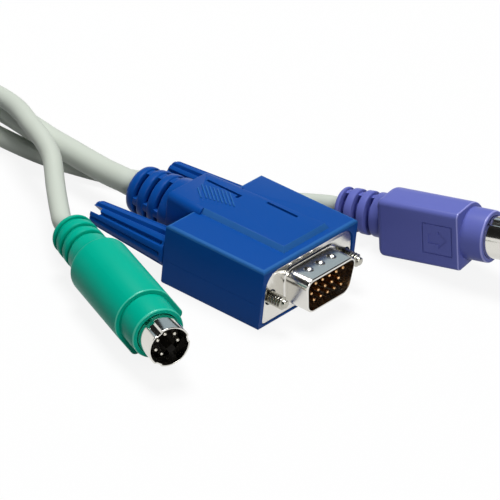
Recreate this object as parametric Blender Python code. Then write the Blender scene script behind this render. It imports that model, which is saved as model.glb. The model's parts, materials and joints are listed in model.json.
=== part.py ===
"""A KVM cable: at one end a blue 15-pin video plug and a green and a purple
round 6-pin plug on three thin cables, which join in a moulded junction; from
there one thicker cable, coiled for storage, runs to a single blue plug.

Lengths below are millimetres; the meshes are made in metres at the end.
Each plug is drawn in its own frame: mating direction -Y, up +Z. The world
frame is that of the first blue plug, with its origin under its hood's middle.
"""

from math import atan2, cos, hypot, pi, radians, sin

import bmesh
import bpy
from mathutils import Matrix, Vector

MM = 0.001
GAP = 0.3  # clearance between pieces that touch on the real cable

# Thumbscrew: a threaded steel screw in a fluted plastic knob
SCREW_SPACING = 25.0
SCREW_RADIUS = 1.4
SCREW_BORE_RADIUS = SCREW_RADIUS + 0.05 + GAP
SCREW_TIP = 4.3
KNOB_LENGTH = 20.6
KNOB_FRONT_RADIUS = 4.1
KNOB_REAR_RADIUS = 2.7
KNOB_FLUTES = 10
KNOB_FLUTE_DEPTH = 0.45
KNOB_SLOT_WIDTH = 1.5
KNOB_SLOT_DEPTH = 2.6
KNOB_SLOT_TURN = radians(45)
KNOB_BORE_DEPTH = 14.0

# Metal flange with the D-shaped shell, its insulator and pins
FLANGE_SIDE = 2.05  # from a screw's axis to the flange's side
FLANGE_WIDTH = SCREW_SPACING + 2 * FLANGE_SIDE
FLANGE_HEIGHT = 12.0
FLANGE_CORNER = 2.2
FLANGE_THICKNESS = 0.8
SHELL_WIDTH = 16.92
SHELL_HEIGHT = 8.36
SHELL_WALL = 0.5
SHELL_DEPTH = 5.9
SHELL_SLANT = radians(10)
SHELL_CORNER = 2.3
INSULATOR_FRONT = 0.8  # how far the insulator stands in front of the flange
INSULATOR_REAR = 4.0
PIN_RADIUS = 0.38
PIN_TIP = 5.15
PIN_EDGE = 3.88  # from the shell's widest side to the first pin's axis
PIN_ROW_PITCH = 1.98
PIN_COLUMNS = 5
PIN_PITCH = (SHELL_WIDTH - 2 * PIN_EDGE) / (PIN_COLUMNS - 1)

# Blue hood: a block, a raised panel on top, a neck and a ringed boot
RIM_SIDE = 1.2
RIM_BELOW = 0.7
RIM_ABOVE = 1.2
RIM_DEPTH = 0.2  # how far the hood's rim stands in front of the flange
HOOD_WIDTH = FLANGE_WIDTH + 2 * RIM_SIDE
HOOD_LENGTH = 25.8
HOOD_HEIGHT = RIM_BELOW + FLANGE_HEIGHT + RIM_ABOVE
HOOD_EDGE = 0.8
AXIS_HEIGHT = RIM_BELOW + FLANGE_HEIGHT / 2
PANEL_RISE = 1.15
PANEL_WIDTH = 16.6
PANEL_BEVEL_X = 1.8
PANEL_BEVEL_Y = 1.2
PANEL_SETBACK = 0.8
NECK_LENGTH = 7.2
NECK_GAP = 0.8  # between the neck and each knob
NECK_WIDTH = SCREW_SPACING - 2 * (KNOB_FRONT_RADIUS + NECK_GAP)
NECK_CORNER = 2.5
BOOT_LENGTH = 12.6
BOOT_FRONT_RADIUS = 6.9
BOOT_REAR_RADIUS = 5.2
BOOT_HEIGHT = AXIS_HEIGHT + 1.4  # height of the cable's axis where it leaves the boot
BOOT_GROOVES = 3
BOOT_GROOVE_PITCH = 3.15
BOOT_GROOVE_WIDTH = 1.2
BOOT_GROOVE_DEPTH = 1.2
BOOT_REAR_LAND = 2.4
BOOT_ROUNDING = 1.0
SPINE_HEIGHT = 1.7

# Round plugs: one moulding of collar, body and ringed boot. The photograph shows
# the green one longer than the purple one, so each has its own lengths
ROUND_SHELL_RADIUS = 4.5
COLLAR_WALL = 0.8
COLLAR_RADIUS = ROUND_SHELL_RADIUS + GAP + COLLAR_WALL
COLLAR_CHAMFER = 0.3
BODY_WIDTH = 13.2
BODY_FLAT = 6.15  # from the axis to the flat side
BODY_CORNER = 1.2
BODY_EDGE = 0.7
GREEN_COLLAR_LENGTH = 6.3
GREEN_BODY_LENGTH = 22.4
GREEN_BOOT_LENGTH = 12.7
GREEN_BOOT_PITCH = 3.1
PURPLE_COLLAR_LENGTH = 5.2
PURPLE_BODY_LENGTH = 19.3
PURPLE_BOOT_LENGTH = 10.6
PURPLE_BOOT_PITCH = 2.8
SMALL_BOOT_FRONT_RADIUS = 4.95
SMALL_BOOT_REAR_RADIUS = 4.6
SMALL_BOOT_GROOVES = 3
SMALL_BOOT_GROOVE_WIDTH = 1.1
SMALL_BOOT_GROOVE_DEPTH = 1.1
SMALL_BOOT_LAND = 1.8  # from the last groove's middle to the boot's end
SMALL_BOOT_ROUNDING = 0.6
GREEN_LENGTHS = (GREEN_COLLAR_LENGTH, GREEN_BODY_LENGTH, GREEN_BOOT_LENGTH, GREEN_BOOT_PITCH)
PURPLE_LENGTHS = (PURPLE_COLLAR_LENGTH, PURPLE_BODY_LENGTH, PURPLE_BOOT_LENGTH, PURPLE_BOOT_PITCH)
ROUND_SHELL_WALL = 0.35
ROUND_SHELL_OUT = 5.15
ROUND_SHELL_IN = 3.0
KEYWAY_DEPTH = 0.45
KEYWAY_WIDTH = 1.8
KEYWAY_ANGLES = (90, -22, 202)  # degrees about the axis, 90 is up
ROUND_PIN_RADIUS = 0.45
ROUND_PIN_RECESS = 0.8
ROUND_FACE_RECESS = 3.8
ROUND_PINS = ((0.95, 2.5), (-0.95, 2.5), (2.45, 0.95), (-2.45, 0.95), (2.1, -0.85), (-2.1, -0.85))
KEY_SIZE = 1.6
KEY_DROP = 1.0
KEY_RECESS = 0.5

# Cables
VIDEO_CABLE = 5.4
ROUND_CABLE = 4.2
TRUNK_CABLE = 6.6

# Where the round plugs lie: middle of the collar's front, heading from -Y
# towards +X, nose-up pitch and roll about the plug's own axis, in degrees
GREEN_ASIDE = 42.75
PURPLE_ASIDE = 35.96
GREEN_PLACE = ((-GREEN_ASIDE, -7.99, 8.6), -24.6, 0.0, 38.0)
PURPLE_PLACE = ((PURPLE_ASIDE, -33.62, 10.65), 8.3, 9.5, -90.0)

# Junction of the three tails, and the trunk's coil with its tie
JUNCTION_PLACE = (13.5, 103.0)
JUNCTION_TURN = radians(-15)
JUNCTION_WIDTH = 18.0
JUNCTION_HEIGHT = 8.4
JUNCTION_LENGTH = 22.0
JUNCTION_BOOT_LENGTH = 10.0
JUNCTION_BOOT_RADIUS = 4.0
JUNCTION_BOOT_REAR_RADIUS = 3.8
JUNCTION_BOOT_GROOVES = (2.4, 5.0, 7.6)  # behind the junction
JUNCTION_CORNER = 3.4
TAIL_OFFSETS = {"purple": -5.4, "green": -0.5, "video": 4.9}
COIL_PITCH = TRUNK_CABLE + 0.1
COIL_OUTER_TURN = 47.0
COIL_BOTTOM_TURNS = 4
COIL_TOP_TURNS = 3
COIL_LEAD = 66.0  # from the junction's front to where the outer turn begins
COIL_HEIGHT = 2 * COIL_PITCH
COIL_CORNER = 1.5
TIE_ANGLE = radians(90)
TIE_WIDTH = 4.8
TIE_THICKNESS = 1.1
TIE_LIFT = 1.4  # the turns rise over the strap, so its top is higher by that
TIE_HEAD = (6.4, 7.0, 4.6)
TIE_HEAD_INWARD = 8.0  # from the bundle's middle towards the coil's

# The far plug: middle of its hood's base, and its turn about Z
FAR_PLUG_PLACE = (-47.0, 84.7)
FAR_PLUG_TURN = radians(12)


def hex_colour(code):
    """Linear RGBA of a colour written the way a paint chart gives it."""
    parts = [int(code[i : i + 2], 16) / 255 for i in (0, 2, 4)]
    return (*[c / 12.92 if c < 0.04045 else ((c + 0.055) / 1.055) ** 2.4 for c in parts], 1.0)


def material(name, code, roughness, metallic=0.0):
    made = bpy.data.materials.new(name)
    made.use_nodes = True
    shader = made.node_tree.nodes["Principled BSDF"]
    shader.inputs["Base Color"].default_value = hex_colour(code)
    shader.inputs["Roughness"].default_value = roughness
    shader.inputs["Metallic"].default_value = metallic
    made.diffuse_color = hex_colour(code)
    return made


def smooth(mesh):
    mesh.shade_smooth()
    mesh.set_sharp_from_angle(angle=radians(35))


def add_object(name, bm, finish, place=None):
    """A bmesh in millimetres becomes an object in metres, put where place says."""
    bmesh.ops.recalc_face_normals(bm, faces=bm.faces)
    bm.transform(Matrix.Scale(MM, 4))
    mesh = bpy.data.meshes.new(name)
    bm.to_mesh(mesh)
    bm.free()
    smooth(mesh)
    made = bpy.data.objects.new(name, mesh)
    made.data.materials.append(finish)
    bpy.context.scene.collection.objects.link(made)
    if place:
        made.matrix_world = Matrix.Translation(place.translation * MM) @ place.to_3x3().to_4x4()
    return made


def guide(name, bm, place=None):
    """A tool for a Boolean: it is left out of the built part."""
    made = add_object(name, bm, guide_finish, place)
    made.hide_render = True
    made.display_type = "WIRE"
    return made


def boolean(target, operation, tool):
    step = target.modifiers.new(tool.name, "BOOLEAN")
    step.operation = operation
    step.object = tool
    step.solver = "EXACT"


def rounded_rectangle(width, height, radius, steps):
    """Outline in X and Z about its middle, counter-clockwise seen from -Y."""
    corners = ((1, -1, -pi / 2), (1, 1, 0), (-1, 1, pi / 2), (-1, -1, pi))
    points = []
    for side, level, start in corners:
        middle = (side * (width / 2 - radius), level * (height / 2 - radius))
        for i in range(steps + 1):
            turn = start + i * pi / 2 / steps
            points.append((middle[0] + radius * cos(turn), middle[1] + radius * sin(turn)))
    return points


def circle(radius, steps):
    return [(radius * cos(2 * pi * i / steps), radius * sin(2 * pi * i / steps)) for i in range(steps)]


def rounded_polygon(corners, radius, steps):
    """A convex outline with each corner turned to an arc of the radius."""
    points = []
    for i, corner in enumerate(corners):
        before, after = Vector(corners[i - 1]), Vector(corners[(i + 1) % len(corners)])
        corner = Vector(corner)
        into, out = (corner - before).normalized(), (after - corner).normalized()
        turn = atan2(into.x * out.y - into.y * out.x, into.dot(out))
        reach = radius * abs(sin(turn / 2) / cos(turn / 2))
        middle = corner - into * reach + Vector((-into.y, into.x)) * radius
        start = atan2(-into.x, into.y)
        for k in range(steps + 1):
            angle = start + turn * k / steps
            points.append((middle.x + radius * cos(angle), middle.y + radius * sin(angle)))
    return points


def d_outline(shrink, steps=4):
    """The D shell's outline, wide side up, drawn in by shrink all round."""
    half, level = SHELL_WIDTH / 2 - shrink, SHELL_HEIGHT / 2 - shrink
    low = half - 2 * level * sin(SHELL_SLANT) / cos(SHELL_SLANT)
    corners = [(low, -level), (half, level), (-half, level), (-low, -level)]
    return rounded_polygon(corners, SHELL_CORNER - shrink, steps)


def keyed_circle(radius, steps=40):
    """The round shell's outline with its three keyways pressed inwards."""
    points = []
    for i in range(steps):
        turn = 2 * pi * i / steps
        depth = 0.0
        for angle in KEYWAY_ANGLES:
            off = abs((turn - radians(angle) + pi) % (2 * pi) - pi) * radius
            if off < KEYWAY_WIDTH / 2:
                depth = KEYWAY_DEPTH
        points.append(((radius - depth) * cos(turn), (radius - depth) * sin(turn)))
    return points


def body_outline(shrink, steps=9):
    """Round plug's body: a half round back above, a flat side below."""
    radius = BODY_WIDTH / 2 - shrink
    flat = BODY_FLAT - shrink
    corner = BODY_CORNER
    points = [(radius * cos(pi * i / steps), radius * sin(pi * i / steps)) for i in range(steps + 1)]
    for side, start in ((-1, pi), (1, 3 * pi / 2)):
        middle = (side * (radius - corner), corner - flat)
        for k in range(4):
            turn = start + k * pi / 6
            points.append((middle[0] + corner * cos(turn), middle[1] + corner * sin(turn)))
    return points


def skin(stations, ring=False):
    """A closed solid through outlines of equal point count: (outline, y, height).

    A ring joins its last outline to its first, where a rod is capped.
    """
    bm = bmesh.new()
    rows = [[bm.verts.new((x, y, z + height)) for x, z in outline] for outline, y, height in stations]
    if not ring:
        bm.faces.new(rows[0])
        bm.faces.new(reversed(rows[-1]))
    for k in range(0 if ring else 1, len(rows)):
        first, second = rows[k - 1], rows[k]
        for i in range(len(first)):
            bm.faces.new((first[i - 1], second[i - 1], second[i], first[i]))
    return bm


def prism(outline, front, rear, height=0.0):
    return skin([(outline, front, height), (outline, rear, height)])


def turned(profile, steps, height=0.0):
    """A solid of revolution about the Y axis from (y, radius) points."""
    bm = bmesh.new()
    ends = [(profile[0][0], 0.0)] + list(profile) + [(profile[-1][0], 0.0)]
    verts = [bm.verts.new((radius, y, 0)) for y, radius in ends]
    edges = [bm.edges.new(pair) for pair in zip(verts, verts[1:])]
    bmesh.ops.spin(
        bm, geom=verts + edges, axis=(0, 1, 0), cent=(0, 0, 0), angle=2 * pi, steps=steps, use_merge=True
    )
    bmesh.ops.remove_doubles(bm, verts=bm.verts, dist=1e-4)
    bmesh.ops.translate(bm, verts=bm.verts, vec=(0, 0, height))
    return bm


def grooved_profile(start, length, front_radius, rear_radius, grooves, width, depth, rounding):
    """(y, radius) of a boot: tapered, with grooves at the given stations."""

    def radius_at(y):
        return front_radius + (rear_radius - front_radius) * (y - start) / length

    points = [(start, front_radius)]
    for middle in grooves:
        front, rear = middle - width / 2, middle + width / 2
        points += [(front, radius_at(front)), (front, radius_at(front) - depth)]
        points += [(rear, radius_at(rear) - depth), (rear, radius_at(rear))]
    end = start + length
    points.append((end - rounding, radius_at(end - rounding)))
    for k in (1, 2, 3):
        turn = k * pi / 6
        points.append((end - rounding + rounding * sin(turn), rear_radius - rounding + rounding * cos(turn)))
    return points


def box(low, high, edge=0.0, segments=1):
    bm = bmesh.new()
    bmesh.ops.create_cube(bm, size=1.0)
    size = Vector(high) - Vector(low)
    bmesh.ops.scale(bm, vec=size, verts=bm.verts)
    bmesh.ops.translate(bm, vec=(Vector(high) + Vector(low)) / 2, verts=bm.verts)
    if edge:
        bmesh.ops.bevel(
            bm, geom=bm.edges, offset=edge, segments=segments, profile=0.5, affect="EDGES", material=-1
        )
    return bm


# Video plug


def hood(name, finish, place):
    """Block, raised panel, neck and boot in one moulding around the cable."""
    front, rear = -HOOD_LENGTH / 2, HOOD_LENGTH / 2
    made = add_object(
        name,
        box((-HOOD_WIDTH / 2, front, 0), (HOOD_WIDTH / 2, rear, HOOD_HEIGHT), HOOD_EDGE, 2),
        finish,
        place,
    )
    top = HOOD_HEIGHT + PANEL_RISE
    panel = box(
        (-PANEL_WIDTH / 2, front + PANEL_SETBACK, HOOD_HEIGHT - PANEL_RISE),
        (PANEL_WIDTH / 2, rear - HOOD_EDGE, top),
    )
    for vert in panel.verts:
        if vert.co.z > HOOD_HEIGHT:
            vert.co.x *= 1 - 2 * PANEL_BEVEL_X / PANEL_WIDTH
            if vert.co.y < 0:
                vert.co.y += PANEL_BEVEL_Y * 2
    neck_end = rear + NECK_LENGTH
    neck_height = top - (BOOT_HEIGHT - BOOT_FRONT_RADIUS)
    neck = skin(
        [
            (rounded_rectangle(NECK_WIDTH, neck_height, NECK_CORNER, 4), rear - 2, top - neck_height / 2),
            (rounded_rectangle(NECK_WIDTH, neck_height, NECK_CORNER, 4), rear + 0.5, top - neck_height / 2),
            (
                rounded_rectangle(2 * BOOT_FRONT_RADIUS, 2 * BOOT_FRONT_RADIUS, BOOT_FRONT_RADIUS - 0.5, 4),
                neck_end,
                BOOT_HEIGHT,
            ),
        ]
    )
    boot_end = neck_end + BOOT_LENGTH
    last = boot_end - BOOT_REAR_LAND - BOOT_GROOVE_WIDTH / 2
    grooves = [last - BOOT_GROOVE_PITCH * i for i in reversed(range(BOOT_GROOVES))]
    boot = turned(
        grooved_profile(
            neck_end - 1, BOOT_LENGTH + 1, BOOT_FRONT_RADIUS - 0.1, BOOT_REAR_RADIUS,
            grooves, BOOT_GROOVE_WIDTH, BOOT_GROOVE_DEPTH, BOOT_ROUNDING,
        ),
        20,
        BOOT_HEIGHT,
    )
    spine_half = BOOT_REAR_RADIUS - 0.05
    spine = box(
        (-spine_half, neck_end - 0.5, BOOT_HEIGHT - SPINE_HEIGHT / 2),
        (spine_half, boot_end - BOOT_ROUNDING - 0.6, BOOT_HEIGHT + SPINE_HEIGHT / 2),
    )
    for vert in spine.verts:
        if vert.co.y < neck_end:
            vert.co.x *= (BOOT_FRONT_RADIUS - 0.3) / spine_half
    plate = rounded_rectangle(
        FLANGE_WIDTH + 2 * GAP, FLANGE_HEIGHT + 2 * GAP, FLANGE_CORNER + GAP, 4
    )
    flange_face = front + RIM_DEPTH
    tools = [
        ("UNION", guide(name + "_panel", panel, place)),
        ("UNION", guide(name + "_neck", neck, place)),
        ("UNION", guide(name + "_boot", boot, place)),
        ("UNION", guide(name + "_spine", spine, place)),
        (
            "DIFFERENCE",
            guide(
                name + "_flange_pocket",
                prism(plate, front - 1, flange_face + FLANGE_THICKNESS + GAP, AXIS_HEIGHT),
                place,
            ),
        ),
        (
            "DIFFERENCE",
            guide(
                name + "_insulator_pocket",
                prism(d_outline(SHELL_WALL), front - 1, flange_face + INSULATOR_REAR + GAP, AXIS_HEIGHT),
                place,
            ),
        ),
    ]
    for side in (-1, 1):
        bore = prism(circle(SCREW_BORE_RADIUS, 14), front - 2, rear + 2, AXIS_HEIGHT)
        bore.transform(Matrix.Translation((side * SCREW_SPACING / 2, 0, 0)))
        tools.append(("DIFFERENCE", guide(f"{name}_bore_{'right' if side > 0 else 'left'}", bore, place)))
    for operation, tool in tools:
        boolean(made, operation, tool)
    return made


def flange_shell(name, finish, place):
    """Pressed steel flange with the D shell, one piece of sheet."""
    face = -HOOD_LENGTH / 2 + RIM_DEPTH
    plate = rounded_rectangle(FLANGE_WIDTH, FLANGE_HEIGHT, FLANGE_CORNER, 4)
    made = add_object(name, prism(plate, face, face + FLANGE_THICKNESS, AXIS_HEIGHT), finish, place)
    shell = prism(d_outline(0), face - SHELL_DEPTH, face + FLANGE_THICKNESS / 2, AXIS_HEIGHT)
    inside = prism(d_outline(SHELL_WALL), face - SHELL_DEPTH - 1, face + FLANGE_THICKNESS + 1, AXIS_HEIGHT)
    boolean(made, "UNION", guide(name + "_d", shell, place))
    boolean(made, "DIFFERENCE", guide(name + "_inside", inside, place))
    for side in (-1, 1):
        hole = prism(circle(SCREW_BORE_RADIUS, 14), face - 1, face + 2, AXIS_HEIGHT)
        hole.transform(Matrix.Translation((side * SCREW_SPACING / 2, 0, 0)))
        boolean(made, "DIFFERENCE", guide(f"{name}_hole_{'right' if side > 0 else 'left'}", hole, place))
    return made


def pin_places():
    """(row, column, x, z) of the 15 pins, the middle row half a pitch aside."""
    for row in range(3):
        offset = PIN_PITCH / 4 if row != 1 else -PIN_PITCH / 4
        for column in range(PIN_COLUMNS):
            yield (
                row + 1,
                column + 1,
                offset + (column - (PIN_COLUMNS - 1) / 2) * PIN_PITCH,
                AXIS_HEIGHT + (1 - row) * PIN_ROW_PITCH,
            )


def pin(radius, tip, base, x, z):
    """A round contact pin with a bevelled tip."""
    bm = turned([(base, radius), (tip + radius, radius), (tip, radius * 0.5)], 6)
    bmesh.ops.translate(bm, verts=bm.verts, vec=(x, 0, z))
    return bm


def insulator(name, finish, place, pins_finish=None):
    """Black D-shaped block that holds the pins; separate pins stand on it."""
    face = -HOOD_LENGTH / 2 + RIM_DEPTH
    front = face - INSULATOR_FRONT
    outline = d_outline(SHELL_WALL + GAP)
    made = add_object(name, prism(outline, front, face + INSULATOR_REAR, AXIS_HEIGHT), finish, place)
    for row, column, x, z in pin_places():
        label = f"{name}_pin_{row}_{column}"
        if pins_finish:
            contact = pin(PIN_RADIUS, face - PIN_TIP, front - GAP, x, z)
            add_object(label, contact, pins_finish, place)
        else:
            contact = pin(PIN_RADIUS, face - PIN_TIP, front + 1, x, z)
            boolean(made, "UNION", guide(label, contact, place))
    return made


def knob(name, finish, place, side):
    """Fluted knob, tapered to its slotted end, with a bore for the screw."""
    steps = KNOB_FLUTES * 3
    start = HOOD_LENGTH / 2 + GAP

    def fluted(radius, shallow):
        points = []
        for i in range(steps):
            turn = 2 * pi * i / steps
            deep = KNOB_FLUTE_DEPTH * shallow * (0.5 - 0.5 * cos(turn * KNOB_FLUTES))
            points.append(((radius - deep) * cos(turn), (radius - deep) * sin(turn)))
        return points

    chamfer = 0.5
    end = start + KNOB_LENGTH
    solid = skin(
        [
            (fluted(KNOB_FRONT_RADIUS - chamfer, 0.3), start, 0),
            (fluted(KNOB_FRONT_RADIUS, 1), start + chamfer, 0),
            (fluted(KNOB_REAR_RADIUS, 1), end - chamfer, 0),
            (fluted(KNOB_REAR_RADIUS - chamfer, 0.3), end, 0),
        ]
    )
    shift = place @ Matrix.Translation((side * SCREW_SPACING / 2, 0, AXIS_HEIGHT))
    made = add_object(name, solid, finish, shift)
    slot = box(
        (-KNOB_SLOT_WIDTH / 2, end - KNOB_SLOT_DEPTH, -KNOB_FRONT_RADIUS),
        (KNOB_SLOT_WIDTH / 2, end + 1, KNOB_FRONT_RADIUS),
    )
    slot.transform(Matrix.Rotation(-KNOB_SLOT_TURN, 4, "Y"))
    bore = prism(circle(SCREW_RADIUS + GAP, 12), start - 1, start + KNOB_BORE_DEPTH)
    boolean(made, "DIFFERENCE", guide(name + "_slot", slot, shift))
    boolean(made, "DIFFERENCE", guide(name + "_bore", bore, shift))
    return made


def screw(name, finish, place, side):
    """Steel screw from inside the knob, through hood and flange, to its tip."""
    face = -HOOD_LENGTH / 2 + RIM_DEPTH
    tip = face - SCREW_TIP
    head = HOOD_LENGTH / 2 + GAP + KNOB_BORE_DEPTH - GAP
    solid = turned([(head, SCREW_RADIUS), (tip + 0.6, SCREW_RADIUS), (tip, SCREW_RADIUS - 0.5)], 12)
    shift = place @ Matrix.Translation((side * SCREW_SPACING / 2, 0, AXIS_HEIGHT))
    return add_object(name, solid, finish, shift)


def video_plug(prefix, place, separate_pins):
    hood(prefix + "_hood", blue_plastic, place)
    flange_shell(prefix + "_flange_shell", bright_metal, place)
    insulator(prefix + "_insulator", black_plastic, place, pin_metal if separate_pins else None)
    for side, word in ((-1, "left"), (1, "right")):
        knob(f"{prefix}_{word}_knob", blue_plastic, place, side)
        screw(f"{prefix}_{word}_screw", bright_metal, place, side)


# Round plugs


def round_plug_place(spot, heading, pitch, roll):
    return (
        Matrix.Translation(spot)
        @ Matrix.Rotation(radians(heading), 4, "Z")
        @ Matrix.Rotation(-radians(pitch), 4, "X")
        @ Matrix.Rotation(-radians(roll), 4, "Y")
    )


def round_moulding(name, finish, place, lengths):
    """Body with its flat side, round collar in front, ringed boot behind."""
    collar_length, body_length, boot_length, pitch = lengths
    body_end = collar_length + body_length
    edge = BODY_EDGE
    made = add_object(
        name,
        skin(
            [
                (body_outline(edge), collar_length, 0),
                (body_outline(0), collar_length + edge, 0),
                (body_outline(0), body_end - edge, 0),
                (body_outline(edge), body_end, 0),
            ]
        ),
        finish,
        place,
    )
    collar = turned(
        [
            (0, COLLAR_RADIUS - COLLAR_CHAMFER),
            (COLLAR_CHAMFER, COLLAR_RADIUS),
            (collar_length + 2, COLLAR_RADIUS),
        ],
        28,
    )
    last = body_end + boot_length - SMALL_BOOT_LAND
    grooves = [last - pitch * i for i in reversed(range(SMALL_BOOT_GROOVES))]
    boot = turned(
        grooved_profile(
            body_end - 1, boot_length + 1, SMALL_BOOT_FRONT_RADIUS, SMALL_BOOT_REAR_RADIUS,
            grooves, SMALL_BOOT_GROOVE_WIDTH, SMALL_BOOT_GROOVE_DEPTH, SMALL_BOOT_ROUNDING,
        ),
        18,
    )
    bore = prism(circle(ROUND_SHELL_RADIUS + GAP, 28), -1, ROUND_SHELL_IN + GAP)
    boolean(made, "UNION", guide(name + "_collar", collar, place))
    boolean(made, "UNION", guide(name + "_boot", boot, place))
    boolean(made, "DIFFERENCE", guide(name + "_bore", bore, place))
    return made


def round_shell(name, finish, place):
    """Drawn steel tube with three keyways pressed into it."""
    outer = keyed_circle(ROUND_SHELL_RADIUS)
    inner = keyed_circle(ROUND_SHELL_RADIUS - ROUND_SHELL_WALL)
    front, rear = -ROUND_SHELL_OUT, ROUND_SHELL_IN
    tube = skin([(outer, front, 0), (outer, rear, 0), (inner, rear, 0), (inner, front, 0)], ring=True)
    return add_object(name, tube, finish, place)


def round_insulator(name, finish, place):
    """Black block inside the shell, with the square key that stands on it."""
    radius = ROUND_SHELL_RADIUS - ROUND_SHELL_WALL - GAP
    front = ROUND_FACE_RECESS - ROUND_SHELL_OUT
    made = add_object(name, prism(keyed_circle(radius), front, ROUND_SHELL_IN), finish, place)
    half = KEY_SIZE / 2
    key = box(
        (-half, KEY_RECESS - ROUND_SHELL_OUT, -KEY_DROP - half),
        (half, front + 1, -KEY_DROP + half),
    )
    boolean(made, "UNION", guide(name + "_key", key, place))
    return made


def round_plug(prefix, finish, place, lengths):
    round_moulding(prefix + "_plug_body", finish, place, lengths)
    round_shell(prefix + "_shell", bright_metal, place)
    round_insulator(prefix + "_insulator", black_plastic, place)
    front = ROUND_FACE_RECESS - ROUND_SHELL_OUT
    for number, (x, z) in enumerate(ROUND_PINS, 1):
        contact = pin(ROUND_PIN_RADIUS, ROUND_PIN_RECESS - ROUND_SHELL_OUT, front - GAP, x, z)
        add_object(f"{prefix}_pin_{number}", contact, pin_metal, place)


# Cables


def smooth_route(points, count):
    """Evenly spread points of a smooth curve through the chosen ones.

    Its two ends keep the straight stretches with which the route leaves a boot.
    """
    points = [Vector(p) for p in points]
    ends = [points[0] * 2 - points[1]] + points + [points[-1] * 2 - points[-2]]
    fine = []
    for i in range(1, len(points) - 2):
        a, b, c, d = ends[i : i + 4]
        for k in range(24):
            t = k / 24
            fine.append(
                0.5 * (2 * b + (c - a) * t + (2 * a - 5 * b + 4 * c - d) * t**2 + (3 * b - a - 3 * c + d) * t**3)
            )
    fine.append(points[-2])
    along = [0.0]
    for a, b in zip(fine, fine[1:]):
        along.append(along[-1] + (b - a).length)
    spread, k = [points[0]], 0
    for i in range(count):
        wanted = along[-1] * i / (count - 1)
        while k < len(along) - 2 and along[k + 1] < wanted:
            k += 1
        share = (wanted - along[k]) / (along[k + 1] - along[k])
        spread.append(fine[k].lerp(fine[k + 1], share))
    return spread + [points[-1]]


def cable(name, finish, diameter, route, spacing=2.5):
    """A round tube along a smooth curve through the route's points."""
    length = sum(hypot(*(Vector(b) - Vector(a))) for a, b in zip(route, route[1:]))
    points = smooth_route(route, max(4, round(length / (diameter * spacing))))
    curve = bpy.data.curves.new(name, "CURVE")
    curve.dimensions = "3D"
    curve.bevel_depth = diameter / 2 * MM
    curve.bevel_resolution = 2
    curve.use_fill_caps = True
    spline = curve.splines.new("POLY")
    spline.points.add(len(points) - 1)
    for target, point in zip(spline.points, points):
        target.co = (*(point * MM), 1.0)
    made = bpy.data.objects.new(name, curve)
    curve.materials.append(finish)
    bpy.context.scene.collection.objects.link(made)
    return made


def behind(place, distance, height=0.0, aside=0.0):
    """A point on a plug's cable axis, so far behind the plug's origin."""
    return tuple(place @ Vector((aside, distance, height)))


def entry_route(tail):
    """The tail's last two points, straight into the junction."""
    return [behind(junction_place, y, JUNCTION_HEIGHT / 2, TAIL_OFFSETS[tail]) for y in (-GAP - 4, -GAP)]


def video_tail_route():
    start = HOOD_LENGTH / 2 + NECK_LENGTH + BOOT_LENGTH + GAP
    return [
        (0, start, BOOT_HEIGHT),
        (0.2, start + 4, BOOT_HEIGHT),
        (0.8, 42.2, 7.6),
        (1.4, 48.0, 7.5),
        (2.0, 53.5, 7.5),
        (2.4, 59.0, 7.6),
        (3.2, 64.5, 7.7),
        (5.7, 72.5, 6.7),
        (9.4, 80.2, 4.7),
        (13.9, 87.8, 3.5),
        (16.4, 93.5, 3.6),
        *entry_route("video"),
    ]


def green_tail_route(place):
    start = GREEN_COLLAR_LENGTH + GREEN_BODY_LENGTH + GREEN_BOOT_LENGTH + GAP
    return [
        behind(place, start),
        behind(place, start + 4),
        (-19.6, 38.2, 8.7),
        (-13.8, 44.3, 9.2),
        (-8.4, 50.1, 11.0),
        (-5.7, 54.8, 12.2),
        (-2.7, 60.9, 12.4),
        (1.6, 69.0, 12.0),
        (4.8, 77.5, 10.6),
        (6.9, 84.5, 8.2),
        (9.2, 91.5, 5.6),
        *entry_route("green"),
    ]


def purple_tail_route(place):
    start = PURPLE_COLLAR_LENGTH + PURPLE_BODY_LENGTH + PURPLE_BOOT_LENGTH + GAP
    return [
        behind(place, start),
        behind(place, start + 3.5),
        (29.3, 9.0, 3.1),
        (27.0, 13.8, 2.4),
        (23.9, 18.7, 2.2),
        (21.1, 23.6, 2.2),
        (18.8, 28.6, 2.2),
        (16.1, 33.6, 2.2),
        (12.7, 38.4, 2.2),
        (9.6, 43.4, 2.2),
        (7.1, 49.2, 2.2),
        (5.3, 55.0, 2.2),
        (4.0, 60.0, 2.2),
        (3.2, 66.0, 2.2),
        (3.0, 74.0, 2.2),
        (3.4, 82.0, 2.3),
        (5.0, 90.0, 2.7),
        *entry_route("purple"),
    ]


def trunk_start_route():
    start = JUNCTION_LENGTH + JUNCTION_BOOT_LENGTH + GAP
    middle, low = JUNCTION_HEIGHT / 2, TRUNK_CABLE / 2 + 0.1
    outer = COIL_OUTER_TURN + COIL_PITCH / 2 + GAP
    end = COIL_LEAD - (outer**2 - (COIL_OUTER_TURN - TRUNK_CABLE / 2) ** 2) ** 0.5
    stretches = ((start, middle), (start + 2, middle), (start + 5, low), (end, low))
    return [behind(junction_place, y, z) for y, z in stretches]


def trunk_end_route(place):
    start = HOOD_LENGTH / 2 + NECK_LENGTH + BOOT_LENGTH + GAP
    x = -(COIL_OUTER_TURN - COIL_PITCH)
    level = COIL_PITCH + GAP + TRUNK_CABLE / 2 + 0.1
    return [
        tuple(coil_place @ Vector((x, -24.5, level))),
        tuple(coil_place @ Vector((x, -31, level))),
        tuple(coil_place @ Vector((x + 0.2, -38, level - 0.2))),
        tuple(coil_place @ Vector((x + 0.5, -46, level - 1.0))),
        behind(place, start + 6, BOOT_HEIGHT),
        behind(place, start, BOOT_HEIGHT),
    ]


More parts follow.
